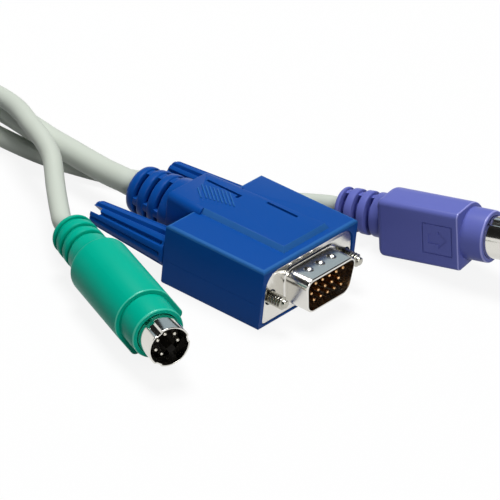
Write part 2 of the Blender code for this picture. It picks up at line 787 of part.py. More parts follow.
def junction(name, finish):
    """Moulding where three tails go in at the back and the trunk comes out."""
    middle = JUNCTION_HEIGHT / 2
    end = JUNCTION_LENGTH
    width = JUNCTION_WIDTH
    stations = [
        (rounded_rectangle(width - 1.6, JUNCTION_HEIGHT - 1.6, 2.6, 3), 0, middle),
        (rounded_rectangle(width, JUNCTION_HEIGHT, JUNCTION_CORNER, 3), 0.8, middle),
        (rounded_rectangle(width, JUNCTION_HEIGHT, JUNCTION_CORNER, 3), end * 0.55, middle),
        (rounded_rectangle(width * 0.7, JUNCTION_HEIGHT, 4.0, 3), end - 2, middle),
        (rounded_rectangle(width * 0.55, JUNCTION_HEIGHT - 0.4, 3.6, 3), end, middle),
    ]
    made = add_object(name, skin(stations), finish, junction_place)
    boot = turned(
        grooved_profile(
            end - 1, JUNCTION_BOOT_LENGTH + 1, JUNCTION_BOOT_RADIUS, JUNCTION_BOOT_REAR_RADIUS,
            [end + groove for groove in JUNCTION_BOOT_GROOVES], 1.1, 0.7, 0.5,
        ),
        14,
        middle,
    )
    boolean(made, "UNION", guide(name + "_boot", boot, junction_place))
    return made


def coil(name, finish):
    """The wound cable's outer shape: a ring with a step, notched at the tie."""
    half = COIL_PITCH / 2
    outer = COIL_OUTER_TURN + half
    inner = COIL_OUTER_TURN - (COIL_BOTTOM_TURNS - 1) * COIL_PITCH - half
    step = inner + COIL_TOP_TURNS * COIL_PITCH
    corner = COIL_CORNER
    profile = [
        (inner, corner), (inner + corner, 0), (outer - corner, 0), (outer, corner),
        (outer, COIL_PITCH - corner), (outer - corner, COIL_PITCH), (step, COIL_PITCH),
        (step, COIL_HEIGHT - corner), (step - corner, COIL_HEIGHT),
        (inner + corner, COIL_HEIGHT), (inner, COIL_HEIGHT - corner),
    ]
    bm = bmesh.new()
    verts = [bm.verts.new((radius, 0, z)) for radius, z in profile]
    edges = [bm.edges.new((verts[i - 1], verts[i])) for i in range(len(verts))]
    bmesh.ops.spin(
        bm, geom=verts + edges, axis=(0, 0, 1), cent=(0, 0, 0), angle=2 * pi, steps=44, use_merge=True
    )
    bmesh.ops.remove_doubles(bm, verts=bm.verts, dist=1e-4)
    made = add_object(name, bm, finish, coil_place)
    reach = TIE_THICKNESS + GAP
    notch = box(
        (inner - 3, -TIE_WIDTH / 2 - GAP, -1),
        (outer + 3, TIE_WIDTH / 2 + GAP, reach),
    )
    notch.transform(Matrix.Rotation(TIE_ANGLE, 4, "Z"))
    boolean(made, "DIFFERENCE", guide(name + "_notch", notch, coil_place))
    return made


def tie(name, finish):
    """Nylon strap around the coil's bundle, drawn tight through its head."""
    half = COIL_PITCH / 2
    outer = COIL_OUTER_TURN + half + GAP
    inner = COIL_OUTER_TURN - (COIL_BOTTOM_TURNS - 1) * COIL_PITCH - half - GAP
    step = inner + COIL_TOP_TURNS * COIL_PITCH + 2 * GAP
    top = COIL_HEIGHT + TIE_LIFT + GAP
    low = TIE_THICKNESS
    side = COIL_PITCH + TIE_LIFT
    inside = [(inner, low), (outer, low), (outer, side), (step, top), (inner, top)]
    middle_x = (inner + outer) / 2
    thick = TIE_THICKNESS
    outside = [
        (inner - thick, 0), (outer + thick, 0), (outer + thick, side + thick / 2),
        (step + thick / 2, top + thick), (inner - thick, top + thick),
    ]
    front, rear = -TIE_WIDTH / 2, TIE_WIDTH / 2
    strap = skin([(outside, front, 0), (outside, rear, 0), (inside, rear, 0), (inside, front, 0)], ring=True)
    place = coil_place @ Matrix.Rotation(TIE_ANGLE, 4, "Z")
    made = add_object(name, strap, finish, place)
    length, depth, height = TIE_HEAD
    head = box(
        (middle_x - TIE_HEAD_INWARD - length / 2, -depth / 2, top + thick / 2),
        (middle_x - TIE_HEAD_INWARD + length / 2, depth / 2, top + thick / 2 + height),
        0.6,
    )
    boolean(made, "UNION", guide(name + "_head", head, place))
    return made


for old in list(bpy.data.objects):
    bpy.data.objects.remove(old)

blue_plastic = material("blue_plastic", "1846A0", 0.38)
green_plastic = material("green_plastic", "00B294", 0.38)
purple_plastic = material("purple_plastic", "5B5FB4", 0.38)
black_plastic = material("black_plastic", "17150F", 0.45)
bright_metal = material("bright_metal", "D2D2CE", 0.2, 1.0)
pin_metal = material("pin_metal", "D8C48A", 0.25, 1.0)
cable_jacket = material("cable_jacket", "D9D9CC", 0.5)
tie_nylon = material("tie_nylon", "E6E6DC", 0.45)
guide_finish = material("guide", "FF00FF", 0.5)

first_place = Matrix()
far_place = Matrix.Translation((*FAR_PLUG_PLACE, 0)) @ Matrix.Rotation(FAR_PLUG_TURN, 4, "Z")
green_place = round_plug_place(*GREEN_PLACE)
purple_place = round_plug_place(*PURPLE_PLACE)
junction_place = Matrix.Translation((*JUNCTION_PLACE, 0)) @ Matrix.Rotation(JUNCTION_TURN, 4, "Z")
coil_middle = junction_place @ Vector((-COIL_OUTER_TURN, COIL_LEAD, 0))
coil_place = Matrix.Translation(coil_middle)

video_plug("video", first_place, True)
round_plug("green", green_plastic, green_place, GREEN_LENGTHS)
round_plug("purple", purple_plastic, purple_place, PURPLE_LENGTHS)
cable("video_tail", cable_jacket, VIDEO_CABLE, video_tail_route())
cable("green_tail", cable_jacket, ROUND_CABLE, green_tail_route(green_place))
cable("purple_tail", cable_jacket, ROUND_CABLE, purple_tail_route(purple_place))
junction("cable_junction", cable_jacket)
cable("trunk_start", cable_jacket, TRUNK_CABLE, trunk_start_route())
coil("trunk_coil", cable_jacket)
tie("coil_tie", tie_nylon)
cable("trunk_end", cable_jacket, TRUNK_CABLE, trunk_end_route(far_place))
video_plug("far", far_place, False)
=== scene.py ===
"""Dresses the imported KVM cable: a blue video plug, a green and a purple round plug
on thin tails, their junction, and the coiled trunk with the second blue plug."""

import json
from math import atan2, cos, pi, radians, sin, tan

import bmesh
import bpy
from mathutils import Matrix, Vector


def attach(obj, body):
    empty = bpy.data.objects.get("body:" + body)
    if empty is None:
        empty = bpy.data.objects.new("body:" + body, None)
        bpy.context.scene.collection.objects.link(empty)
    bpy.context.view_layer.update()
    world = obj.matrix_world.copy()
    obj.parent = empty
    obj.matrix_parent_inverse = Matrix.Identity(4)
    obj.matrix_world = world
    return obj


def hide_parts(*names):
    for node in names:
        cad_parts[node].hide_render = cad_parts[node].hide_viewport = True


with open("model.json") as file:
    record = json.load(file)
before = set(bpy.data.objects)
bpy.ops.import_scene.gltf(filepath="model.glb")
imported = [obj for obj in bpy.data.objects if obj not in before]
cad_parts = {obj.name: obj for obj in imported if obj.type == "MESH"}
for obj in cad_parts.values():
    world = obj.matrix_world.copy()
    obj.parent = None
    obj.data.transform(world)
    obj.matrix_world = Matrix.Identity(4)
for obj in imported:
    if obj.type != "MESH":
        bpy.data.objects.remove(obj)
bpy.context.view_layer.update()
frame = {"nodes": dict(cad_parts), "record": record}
MM = 0.001

# Camera: it looks down on the plugs' fronts from their left, 0.8 m away; its turn,
# height, aim and lens were solved on the sizes of the video plug in the photo
camera_turn, camera_height_angle, camera_roll = radians(-54.57), radians(30.27), radians(6.12)
camera_distance, camera_aim = 0.8, Vector((-5.55, -1.48, 10.09)) * MM
camera_lens, sensor_width = 280.3, 36.0
camera = bpy.data.objects.new("camera", bpy.data.cameras.new("camera"))
bpy.context.scene.collection.objects.link(camera)
camera_pose = (
    Matrix.Rotation(camera_turn, 3, "Z")
    @ Matrix.Rotation(pi / 2 - camera_height_angle, 3, "X")
    @ Matrix.Rotation(camera_roll, 3, "Z")
)
camera_spot = camera_aim + camera_distance * camera_pose.col[2]
camera.matrix_world = Matrix.Translation(camera_spot) @ camera_pose.to_4x4()
camera.data.lens = camera_lens
camera.data.sensor_width = sensor_width
camera.data.clip_end = 20
bpy.context.scene.camera = camera

# Studio: a white floor that glows where it is looked at, a key lamp above and a
# weak one in front; the metal mirrors a dark ceiling and a pale blue sheet in it
floor_size, floor_tone, floor_glow, glow_share = 6.0, 0.25, 1.47, 0.6
ceiling_size, ceiling_height, ceiling_tone = 14.0, 2.0, 0.03
sheet_size, sheet_spot, sheet_colour, sheet_strength = 2.6, (2.8, 2.0, 1.95), (0.62, 0.83, 0.98, 1), 0.45
sky_light, sky_looked_at = 0.15, 1.0


def level_sheet(name, size, spot=(0, 0, 0), overhead=False):
    """A square sheet; one that is overhead faces down and isn't seen directly."""
    bm = bmesh.new()
    bmesh.ops.create_grid(bm, x_segments=1, y_segments=1, size=size / 2)
    if overhead:
        bmesh.ops.reverse_faces(bm, faces=bm.faces[:])
    bmesh.ops.translate(bm, vec=spot, verts=bm.verts[:])
    mesh = bpy.data.meshes.new(name)
    bm.to_mesh(mesh)
    bm.free()
    made = bpy.data.objects.new(name, mesh)
    bpy.context.scene.collection.objects.link(made)
    made.visible_camera = not overhead
    return made


def shader_of(name):
    """A new material, its nodes and links, and its Principled shader."""
    material = bpy.data.materials.new(name)
    material.use_nodes = True
    tree = material.node_tree
    return material, tree.nodes, tree.links, tree.nodes["Principled BSDF"]


def linear(code):
    """Linear RGBA of a colour written as on a paint chart."""
    parts = [int(code[i : i + 2], 16) / 255 for i in (0, 2, 4)]
    return (*[c / 12.92 if c < 0.04045 else ((c + 0.055) / 1.055) ** 2.4 for c in parts], 1.0)


def computed(nodes, links, operation, *values):
    """Output of a Math node; each value is a number or another node's output."""
    made = nodes.new("ShaderNodeMath")
    made.operation = operation
    for socket, value in zip(made.inputs, values):
        if isinstance(value, (int, float)):
            socket.default_value = value
        else:
            links.new(value, socket)
    return made.outputs[0]


def looked_at(nodes, links):
    """1 where a surface is seen directly, in a reflection or through glass."""
    path = nodes.new("ShaderNodeLightPath").outputs
    mirrored = computed(nodes, links, "MAXIMUM", path["Is Camera Ray"], path["Is Glossy Ray"])
    return computed(nodes, links, "MAXIMUM", mirrored, path["Is Transmission Ray"])


white_floor, nodes, links, shader = shader_of("white_floor")
shader.inputs["Base Color"].default_value = (floor_tone, floor_tone, floor_tone, 1)
shader.inputs["Roughness"].default_value = 0.9
shader.inputs["Specular IOR Level"].default_value = 0
glow = nodes.new("ShaderNodeEmission")
glow.inputs["Color"].default_value = (1, 1, 1, 1)
glow.inputs["Strength"].default_value = floor_glow
mixed = nodes.new("ShaderNodeMixShader")
links.new(computed(nodes, links, "MULTIPLY", looked_at(nodes, links), glow_share), mixed.inputs["Fac"])
links.new(shader.outputs[0], mixed.inputs[1])
links.new(glow.outputs[0], mixed.inputs[2])
links.new(mixed.outputs[0], nodes["Material Output"].inputs["Surface"])
floor = level_sheet("floor", floor_size)
floor.data.materials.append(white_floor)

world = bpy.data.worlds.new("studio")
bpy.context.scene.world = world
world.use_nodes = True
nodes, links = world.node_tree.nodes, world.node_tree.links
nodes["Background"].inputs["Color"].default_value = (1, 1, 1, 1)
sky = nodes.new("ShaderNodeMapRange")
sky.inputs["To Min"].default_value = sky_light
sky.inputs["To Max"].default_value = sky_looked_at
links.new(looked_at(nodes, links), sky.inputs["Value"])
links.new(sky.outputs["Result"], nodes["Background"].inputs["Strength"])

ceiling = level_sheet("ceiling", ceiling_size, (0, 0, ceiling_height), overhead=True)
dim_ceiling, nodes, links, shader = shader_of("dim_ceiling")
shader.inputs["Base Color"].default_value = (ceiling_tone, ceiling_tone, ceiling_tone, 1)
shader.inputs["Roughness"].default_value = 1
ceiling.data.materials.append(dim_ceiling)
pale_sheet = level_sheet("pale_sheet", sheet_size, sheet_spot, overhead=True)
sheet_glow, nodes, links, shader = shader_of("sheet_glow")
shader.inputs["Base Color"].default_value = (0.6, 0.6, 0.6, 1)
shader.inputs["Emission Color"].default_value = sheet_colour
shader.inputs["Emission Strength"].default_value = sheet_strength
pale_sheet.data.materials.append(sheet_glow)


def lamp(name, spot, size, power):
    """A square soft light at spot, facing the middle of the floor."""
    light = bpy.data.lights.new(name, "AREA")
    light.size = size
    light.energy = power
    made = bpy.data.objects.new(name, light)
    bpy.context.scene.collection.objects.link(made)
    made.location = spot
    made.rotation_euler = Vector(spot).to_track_quat("Z", "Y").to_euler()


lamp("key_light", (0.2, 0.4, 1.6), size=0.7, power=27)
lamp("front_light", (-0.75, -1.1, 0.85), size=0.6, power=9.5)
bpy.context.scene.view_settings.view_transform = "Standard"

# Cable jackets: soft PVC in an ivory grey, extruded over the cores, with a
# faint grain; each tail lies as it fell, straight out of its plug's boot
video_cable, round_cable, trunk_cable = 5.4 * MM, 4.2 * MM, 6.6 * MM


def moulding_grain():
    """Node group: fine bumps of a mould's texture and a slight mottle of colour."""
    tree = bpy.data.node_groups.new("moulding_grain", "ShaderNodeTree")
    for name, kind, default in (
        ("Color", "NodeSocketColor", (0.5, 0.5, 0.5, 1)),
        ("Grain Size", "NodeSocketFloat", 3000.0),
        ("Grain Depth", "NodeSocketFloat", 0.2),
        ("Mottle", "NodeSocketFloat", 0.05),
        ("Roughness", "NodeSocketFloat", 0.4),
    ):
        socket = tree.interface.new_socket(name, in_out="INPUT", socket_type=kind)
        socket.default_value = default
    for name, kind in (("Color", "Color"), ("Roughness", "Float"), ("Normal", "Vector")):
        tree.interface.new_socket(name, in_out="OUTPUT", socket_type=f"NodeSocket{kind}")
    made, join = tree.nodes, tree.links.new
    given, put = made.new("NodeGroupInput"), made.new("NodeGroupOutput")
    place = made.new("ShaderNodeTexCoord")
    grain = made.new("ShaderNodeTexNoise")
    grain.inputs["Detail"].default_value = 3
    join(place.outputs["Object"], grain.inputs["Vector"])
    join(given.outputs["Grain Size"], grain.inputs["Scale"])
    bump = made.new("ShaderNodeBump")
    bump.inputs["Distance"].default_value = 0.05 * MM
    join(given.outputs["Grain Depth"], bump.inputs["Strength"])
    join(grain.outputs["Fac"], bump.inputs["Height"])
    join(bump.outputs["Normal"], put.inputs["Normal"])
    clouds = made.new("ShaderNodeTexNoise")
    clouds.inputs["Scale"].default_value = 150
    clouds.inputs["Detail"].default_value = 4
    join(place.outputs["Object"], clouds.inputs["Vector"])
    centred = computed(made, tree.links, "SUBTRACT", clouds.outputs["Fac"], 0.5)
    spread = computed(made, tree.links, "MULTIPLY_ADD", centred, given.outputs["Mottle"], 1)
    tone = made.new("ShaderNodeHueSaturation")
    join(spread, tone.inputs["Value"])
    join(given.outputs["Color"], tone.inputs["Color"])
    join(tone.outputs["Color"], put.inputs["Color"])
    sheen = computed(made, tree.links, "MULTIPLY", given.outputs["Roughness"], spread)
    join(sheen, put.inputs["Roughness"])
    return tree


grain_group = moulding_grain()


def moulded(name, code, roughness, grain_size=3000.0, grain_depth=0.2, mottle=0.1, gloss=0.07):
    """Moulded plastic of one colour with the mould's grain."""
    material, nodes, links, shader = shader_of(name)
    shader.inputs["Specular IOR Level"].default_value = gloss
    group = nodes.new("ShaderNodeGroup")
    group.node_tree = grain_group
    group.inputs["Color"].default_value = linear(code)
    group.inputs["Grain Size"].default_value = grain_size
    group.inputs["Grain Depth"].default_value = grain_depth
    group.inputs["Mottle"].default_value = mottle
    group.inputs["Roughness"].default_value = roughness
    links.new(group.outputs["Color"], shader.inputs["Base Color"])
    links.new(group.outputs["Roughness"], shader.inputs["Roughness"])
    links.new(group.outputs["Normal"], shader.inputs["Normal"])
    return material


cable_jacket = moulded("cable_jacket", "C9D0C5", 0.42, 2500, 0.12, 0.06)


def smooth_route(points, step):
    """Points about a step apart on a smooth curve through the chosen ones.

    Its two ends keep the straight stretches with which the route leaves a boot.
    """
    points = [Vector(p) for p in points]
    fine = [points[0]]
    for i in range(1, len(points) - 2):
        a, b, c, d = points[i - 1 : i + 3]
        count = max(2, round((c - b).length / step))
        for k in range(count):
            t = k / count
            bend, twist = 2 * a - 5 * b + 4 * c - d, 3 * b - a - 3 * c + d
            fine.append(0.5 * (2 * b + (c - a) * t + bend * t**2 + twist * t**3))
    return fine + [points[-2], points[-1]]


def jacket(name, diameter, points):
    """A round cable as a curve through points in millimetres."""
    curve = bpy.data.curves.new(name, "CURVE")
    curve.dimensions = "3D"
    curve.bevel_depth = diameter / 2
    curve.bevel_resolution = 8
    curve.use_fill_caps = True
    spline = curve.splines.new("POLY")
    spline.points.add(len(points) - 1)
    for target, point in zip(spline.points, points):
        target.co = (*(Vector(point) * MM), 1.0)
    spline.use_smooth = True
    made = bpy.data.objects.new(name, curve)
    curve.materials.append(cable_jacket)
    bpy.context.scene.collection.objects.link(made)
    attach(made, "cable")
    length = sum((Vector(b) - Vector(a)).length for a, b in zip(points, points[1:])) * MM
    return made, length


video_exit = (0, 33.0, 8.1)
green_exit = (-25.39, 29.93, 8.6)
purple_exit = (30.92, 0.93, 4.81)
junction_place = Matrix.Translation((13.5, 103.0, 0)) @ Matrix.Rotation(radians(-15), 4, "Z")
junction_middle, junction_gap, straight_end = 4.2, 0.3, 4.0
video_entry, green_entry, purple_entry = 4.9, -0.5, -5.4


def entry(offset):
    """The last two points of a tail that goes straight into the junction."""
    stations = (-junction_gap - straight_end, -junction_gap)
    return [junction_place @ Vector((offset, y, junction_middle)) for y in stations]


video_route = [
    video_exit,
    (0.2, 37.0, 8.1),
    (0.8, 42.2, 7.6),
    (1.4, 48.0, 7.5),
    (2.0, 53.5, 7.5),
    (2.4, 59.0, 7.6),
    (3.2, 64.5, 7.7),
    (5.7, 72.5, 6.7),
    (9.4, 80.2, 4.7),
    (13.9, 87.8, 3.5),
    (16.4, 93.5, 3.6),
    *entry(video_entry),
]
green_route = [
    green_exit,
    (-23.73, 33.56, 8.6),
    (-19.6, 38.2, 8.7),
    (-13.8, 44.3, 9.2),
    (-8.4, 50.1, 11.0),
    (-5.7, 54.8, 12.2),
    (-2.7, 60.9, 12.4),
    (1.6, 69.0, 12.0),
    (4.8, 77.5, 10.6),
    (6.9, 84.5, 8.2),
    (9.2, 91.5, 5.6),
    *entry(green_entry),
]
purple_route = [
    purple_exit,
    (30.42, 4.34, 4.23),
    (29.3, 9.0, 3.1),
    (27.0, 13.8, 2.4),
    (23.9, 18.7, 2.2),
    (21.1, 23.6, 2.2),
    (18.8, 28.6, 2.2),
    (16.1, 33.6, 2.2),
    (12.7, 38.4, 2.2),
    (9.6, 43.4, 2.2),
    (7.1, 49.2, 2.2),
    (5.3, 55.0, 2.2),
    (4.0, 60.0, 2.2),
    (3.2, 66.0, 2.2),
    (3.0, 74.0, 2.2),
    (3.4, 82.0, 2.3),
    (5.0, 90.0, 2.7),
    *entry(purple_entry),
]
for name, diameter, route in (
    ("video", video_cable, video_route),
    ("green", round_cable, green_route),
    ("purple", round_cable, purple_route),
):
    tail, length = jacket(f"{name}_cable", diameter, smooth_route(route, 0.8))
    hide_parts(f"{name}_tail")

# Trunk: the three tails' cores in one thicker jacket. It leaves the junction,
# lies in a neat coil of two layers and comes out on top of the outer turn
coil_pitch, outer_turn, coil_lead, coil_low = 6.7, 47.0, 66.0, 3.35
coil_x, coil_y, _ = junction_place @ Vector((-outer_turn, coil_lead, 0))
first_turn, last_turn, winding_steps = radians(-15), 13 * pi, 600
rise_start, rise_end = 4 - 160 / 360, 4 - 60 / 360
tie_turn, tie_lift, tie_reach = radians(90), 1.4, radians(14)


def eased(share):
    """0 to 1 with a slow start and end."""
    share = min(1.0, max(0.0, share))
    return share * share * (3 - 2 * share)


def coil_point(turned):
    """The cable's centre after that much of the winding, in radians.

    Below it steps in by one cable's width just before each whole turn, then it
    rises to the upper layer and steps out again; the tie needs it a little high.
    """
    full = turned / (2 * pi)
    steps = sum(eased(4 * (full - k) + 1) for k in (1, 2, 3))
    steps -= sum(eased(4 * (full - k)) for k in (4.5, 5.5))
    radius = outer_turn - coil_pitch * steps
    height = coil_low + coil_pitch * eased((full - rise_start) / (rise_end - rise_start))
    off = abs((turned - tie_turn + pi) % (2 * pi) - pi)
    height += tie_lift * eased(1.5 - off / tie_reach)
    return (coil_x + radius * cos(turned), coil_y + radius * sin(turned), height)


turn_step = (last_turn - first_turn) / winding_steps
winding = [coil_point(first_turn + turn_step * i) for i in range(winding_steps + 1)]
far_x, far_y, far_turn = -47.0, 84.7, radians(12)


def far_point(x, y, z):
    """A point of the far plug, drawn like the first plug, at its own place."""
    across, along = cos(far_turn), sin(far_turn)
    return (far_x + x * across - y * along, far_y + x * along + y * across, z)


last_x, last_y, last_height = winding[-1]
stations = ((32.3, 4.2), (34.3, 4.2), (37.3, 3.4), (42.0, coil_low), (50.0, coil_low), (coil_lead, coil_low))
lead_in = smooth_route([junction_place @ Vector((0, y, z)) for y, z in stations], 1.0)
lead_out = smooth_route(
    [
        winding[-1],
        (last_x, last_y - 12, last_height),
        (last_x, last_y - 24.5, last_height + 0.35),
        (last_x, last_y - 31, last_height + 0.35),
        (last_x + 0.2, last_y - 38, last_height + 0.15),
        (last_x + 0.5, last_y - 46, last_height - 0.65),
        far_point(0, 39.0, 8.1),
        far_point(0, 33.0, 8.1),
    ],
    1.0,
)
trunk, trunk_length = jacket("trunk_cable", trunk_cable, lead_in[:-1] + winding + lead_out[1:])
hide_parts("trunk_start", "trunk_coil", "trunk_end")
far_pieces = ["far_hood", "far_flange_shell", "far_insulator", "far_left_knob", "far_left_screw"]
far_pieces += ["far_right_knob", "far_right_screw", "coil_tie"]

# Round plugs: one soft PVC moulding each, a round collar, a body with a flat side
# and a half-round back, and a boot whose grooves leave it bendable; a square with
# an arrow is sunk into the flat side, and shows which way up the plug goes in
collar_radius, collar_bore, collar_depth, collar_sunk = 5.6, 4.62, 3.3, 1.0
body_width, body_flat, body_rounding, body_corner, back_sunk = 13.2, 6.15, 1.3, 1.2, 0.15
small_boot_front, small_boot_rear, small_boot_land = 4.95, 4.6, 1.8
small_groove_width, small_groove_depth = 1.25, 2.2
small_bridge_half, small_bridge_low, small_bridge_high, small_bridge_turn = 0.8, 2.3, 4.05, radians(200)
mark_side, mark_line, mark_depth, mark_middle = 6.8, 0.24, 0.22, 10.1
green_plastic = moulded("green_moulding", "00AE92", 0.36, 2600, 0.1, 0.05)
purple_plastic = moulded("purple_moulding", "666EBA", 0.36, 2600, 0.1, 0.05)
# The rim finishes are lighter, glossier copies of the two mouldings' colours: a painted highlight on the
# rounded front edges of the body and the collar
green_painted_highlight = moulded("green_painted_highlight", "3CCBAC", 0.3, 2600, 0.1, 0.05, 0.5)
purple_painted_highlight = moulded("purple_painted_highlight", "9296DC", 0.3, 2600, 0.1, 0.05, 0.5)


def soften(bm, geom, offset, segments, affect="EDGES"):
    """Rounds edges, or corners of a flat outline."""
    bmesh.ops.bevel(
        bm,
        geom=geom,
        offset=offset,
        segments=segments,
        profile=0.5,
        affect=affect,
        material=-1,
        clamp_overlap=affect == "EDGES",
    )


def soften_where(bm, test, offset, segments=3):
    """Rounds the edges whose two ends both pass the test."""
    chosen = [e for e in bm.edges if all(test(v.co) for v in e.verts) and e.calc_face_angle(0) > 0.3]
    soften(bm, chosen, offset, segments)


def pulled(bm, faces):
    """Extrudes faces in place; gives the new vertices and faces."""
    made = bmesh.ops.extrude_face_region(bm, geom=faces)["geom"]
    verts = [v for v in made if isinstance(v, bmesh.types.BMVert)]
    return verts, [f for f in made if isinstance(f, bmesh.types.BMFace)]


def drawn(corners, radii, front, rear, segments=6):
    """A closed solid along Y from a face drawn in X and Z with rounded corners."""
    bm = bmesh.new()
    verts = [bm.verts.new((x, front, z)) for x, z in corners]
    bm.faces.new(verts)
    for vert, radius in zip(verts, radii):
        soften(bm, [vert], radius, segments, "VERTICES")
    far_verts, _ = pulled(bm, bm.faces[:])
    bmesh.ops.translate(bm, vec=(0, rear - front, 0), verts=far_verts)
    bmesh.ops.recalc_face_normals(bm, faces=bm.faces[:])
    return bm


def lathed(profile, steps, rounded=None, turn=2 * pi):
    """A solid turned about the Y axis from (y, radius) points.

    The corners named in rounded, by their number, are rounded by that much. A
    turn short of the full one gives a wedge with flat ends.
    """
    bm = bmesh.new()
    verts = [bm.verts.new((radius, y, 0)) for y, radius in profile]
    if turn < 2 * pi:
        bm.faces.new(verts)
    else:
        for pair in zip(verts, verts[1:]):
            bm.edges.new(pair)
    for number, radius in (rounded or {}).items():
        soften(bm, [verts[number]], radius, 3, "VERTICES")
    bmesh.ops.spin(
        bm,
        geom=bm.verts[:] + bm.edges[:] + bm.faces[:],
        axis=(0, 1, 0),
        cent=(0, 0, 0),
        angle=turn,
        steps=steps,
        use_merge=turn == 2 * pi,
    )
    bmesh.ops.remove_doubles(bm, verts=bm.verts[:], dist=1e-4)
    bmesh.ops.recalc_face_normals(bm, faces=bm.faces[:])
    return bm


def rod(first, last, radius, steps, rounding=0.0):
    """A round bar along Y, with the edge of its last end rounded."""
    profile = ((first, 0.0), (first, radius), (last, radius), (last, 0.0))
    return lathed(profile, steps, {2: rounding} if rounding else None)


def block(low, high, edge=0.0, segments=3):
    """A block between two corners, its edges rounded."""
    size = Vector(high) - Vector(low)
    middle = (Vector(high) + Vector(low)) / 2
    bm = bmesh.new()
    bmesh.ops.create_cube(bm, size=1.0, matrix=Matrix.Translation(middle) @ Matrix.Diagonal((*size, 1.0)))
    if edge:
        soften(bm, bm.edges[:], edge, segments)
    return bm


def moved(bm, x=0.0, y=0.0, z=0.0, turn=0.0):
    """The shape turned about the Y axis and shifted."""
    bm.transform(Matrix.Translation((x, y, z)) @ Matrix.Rotation(turn, 4, "Y"))
    return bm


def assembled(*shapes):
    """Several shapes in one mesh."""
    bm = bmesh.new()
    for shape in shapes:
        mesh = bpy.data.meshes.new("part")
        shape.to_mesh(mesh)
        shape.free()
        bm.from_mesh(mesh)
        bpy.data.meshes.remove(mesh)
    return bm


def carved(shape, cut=(), joined=()):
    """The shape with others joined to it and others cut out of it."""
    helpers = []
    for bm in (shape, *joined, *cut):
        mesh = bpy.data.meshes.new("helper")
        bm.to_mesh(mesh)
        bm.free()
        for _ in range(2):
            mesh.materials.append(None)
        helpers.append(bpy.data.objects.new("helper", mesh))
        bpy.context.scene.collection.objects.link(helpers[-1])
    for number, helper in enumerate(helpers[1:]):
        step = helpers[0].modifiers.new("step", "BOOLEAN")
        step.operation = "UNION" if number < len(joined) else "DIFFERENCE"
        step.object = helper
        step.solver = "EXACT"
    bpy.context.view_layer.update()
    result = helpers[0].evaluated_get(bpy.context.evaluated_depsgraph_get())
    bm = bmesh.new()
    bm.from_mesh(result.to_mesh())
    result.to_mesh_clear()
    for helper in helpers:
        mesh = helper.data
        bpy.data.objects.remove(helper)
        bpy.data.meshes.remove(mesh)
    return bm


def new_piece(name, bm, place, finish, body, slot, *stands_for, second_finish=None):
    """A shape in millimetres becomes a piece in metres at its place.

    Faces of the shape's second material get the second finish.
    """
    bm.transform(Matrix.Scale(MM, 4) @ place)
    mesh = bpy.data.meshes.new(name)
    bm.to_mesh(mesh)
    bm.free()
    mesh.materials.append(finish)
    if second_finish:
        mesh.materials.append(second_finish)
    mesh.shade_smooth()
    mesh.set_sharp_from_angle(angle=radians(32))
    made = bpy.data.objects.new(name, mesh)
    bpy.context.scene.collection.objects.link(made)
    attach(made, body)
    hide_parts(*stands_for)
    return made


def ringed(start, length, radii, middles, groove, rounding):
    """Profile of a tapered boot with round-shouldered grooves, and its corners.

    The radii are the front's and the rear's, a groove has a width, a depth and
    its shoulders' rounding, and rounding is the rear edge's.
    """
    width, depth, shoulder = groove

    def radius_at(y):
        return radii[0] + (radii[1] - radii[0]) * (y - start) / length

    profile, rounded = [(start, 0.0), (start, radii[0])], {}
    for middle in middles:
        front, rear = middle - width / 2, middle + width / 2
        for y, deep in ((front, 0.0), (front, depth), (rear, depth), (rear, 0.0)):
            if not deep:
                rounded[len(profile)] = shoulder
            profile.append((y, radius_at(y) - deep))
    rounded[len(profile)] = rounding
    profile += [(start + length, radii[1]), (start + length, 0.0)]
    return profile, rounded


def arrow_mark():
    """Cutters for the sunk square's outline and the arrow that points forward."""
    floor = mark_depth - body_flat
    low, half, line = floor - 1, mark_side / 2, mark_line / 2
    front, rear = mark_middle - half, mark_middle + half
    strokes = []
    for x, y in ((-half, front), (half, rear)):
        strokes.append(block((-half - line, y - line, low), (half + line, y + line, floor)))
        strokes.append(block((x - line, front, low), (x + line, rear, floor + 0.01)))
    arrow = bmesh.new()
    outline = ((0, -2.3), (2.0, -0.3), (1.1, -0.3), (1.1, 2.1), (-1.1, 2.1), (-1.1, -0.3), (-2.0, -0.3))
    arrow.faces.new([arrow.verts.new((x, mark_middle + y, low)) for x, y in outline])
    verts, _ = pulled(arrow, arrow.faces[:])
    bmesh.ops.translate(arrow, vec=(0, 0, floor - low), verts=verts)
    bmesh.ops.recalc_face_normals(arrow, faces=arrow.faces[:])
    return [*strokes, arrow]


def rounded_off(bm, y, size, reach, steps=5):
    """Draws the end face at y on and inwards in a quarter round."""
    last = [f for f in bm.faces if abs(f.calc_center_median().y - y) < 1e-3 and abs(f.normal.y) > 0.9]
    for i in range(steps):
        before, after = radians(90 * i / steps), radians(90 * (i + 1) / steps)
        verts, last = pulled(bm, last)
        factor = (size - reach * (1 - cos(after))) / (size - reach * (1 - cos(before)))
        bmesh.ops.scale(bm, vec=(factor, 1, factor), verts=verts)
        bmesh.ops.translate(bm, vec=(0, reach * (sin(after) - sin(before)), 0), verts=verts)


def painted_highlight_rim(bm, rear):
    """Gives the second material, a painted highlight, to the rounded edge that faces forward, up to rear."""
    for face in bm.faces:
        face.material_index = int(face.calc_center_median().y < rear and -0.95 < face.normal.y < -0.2)


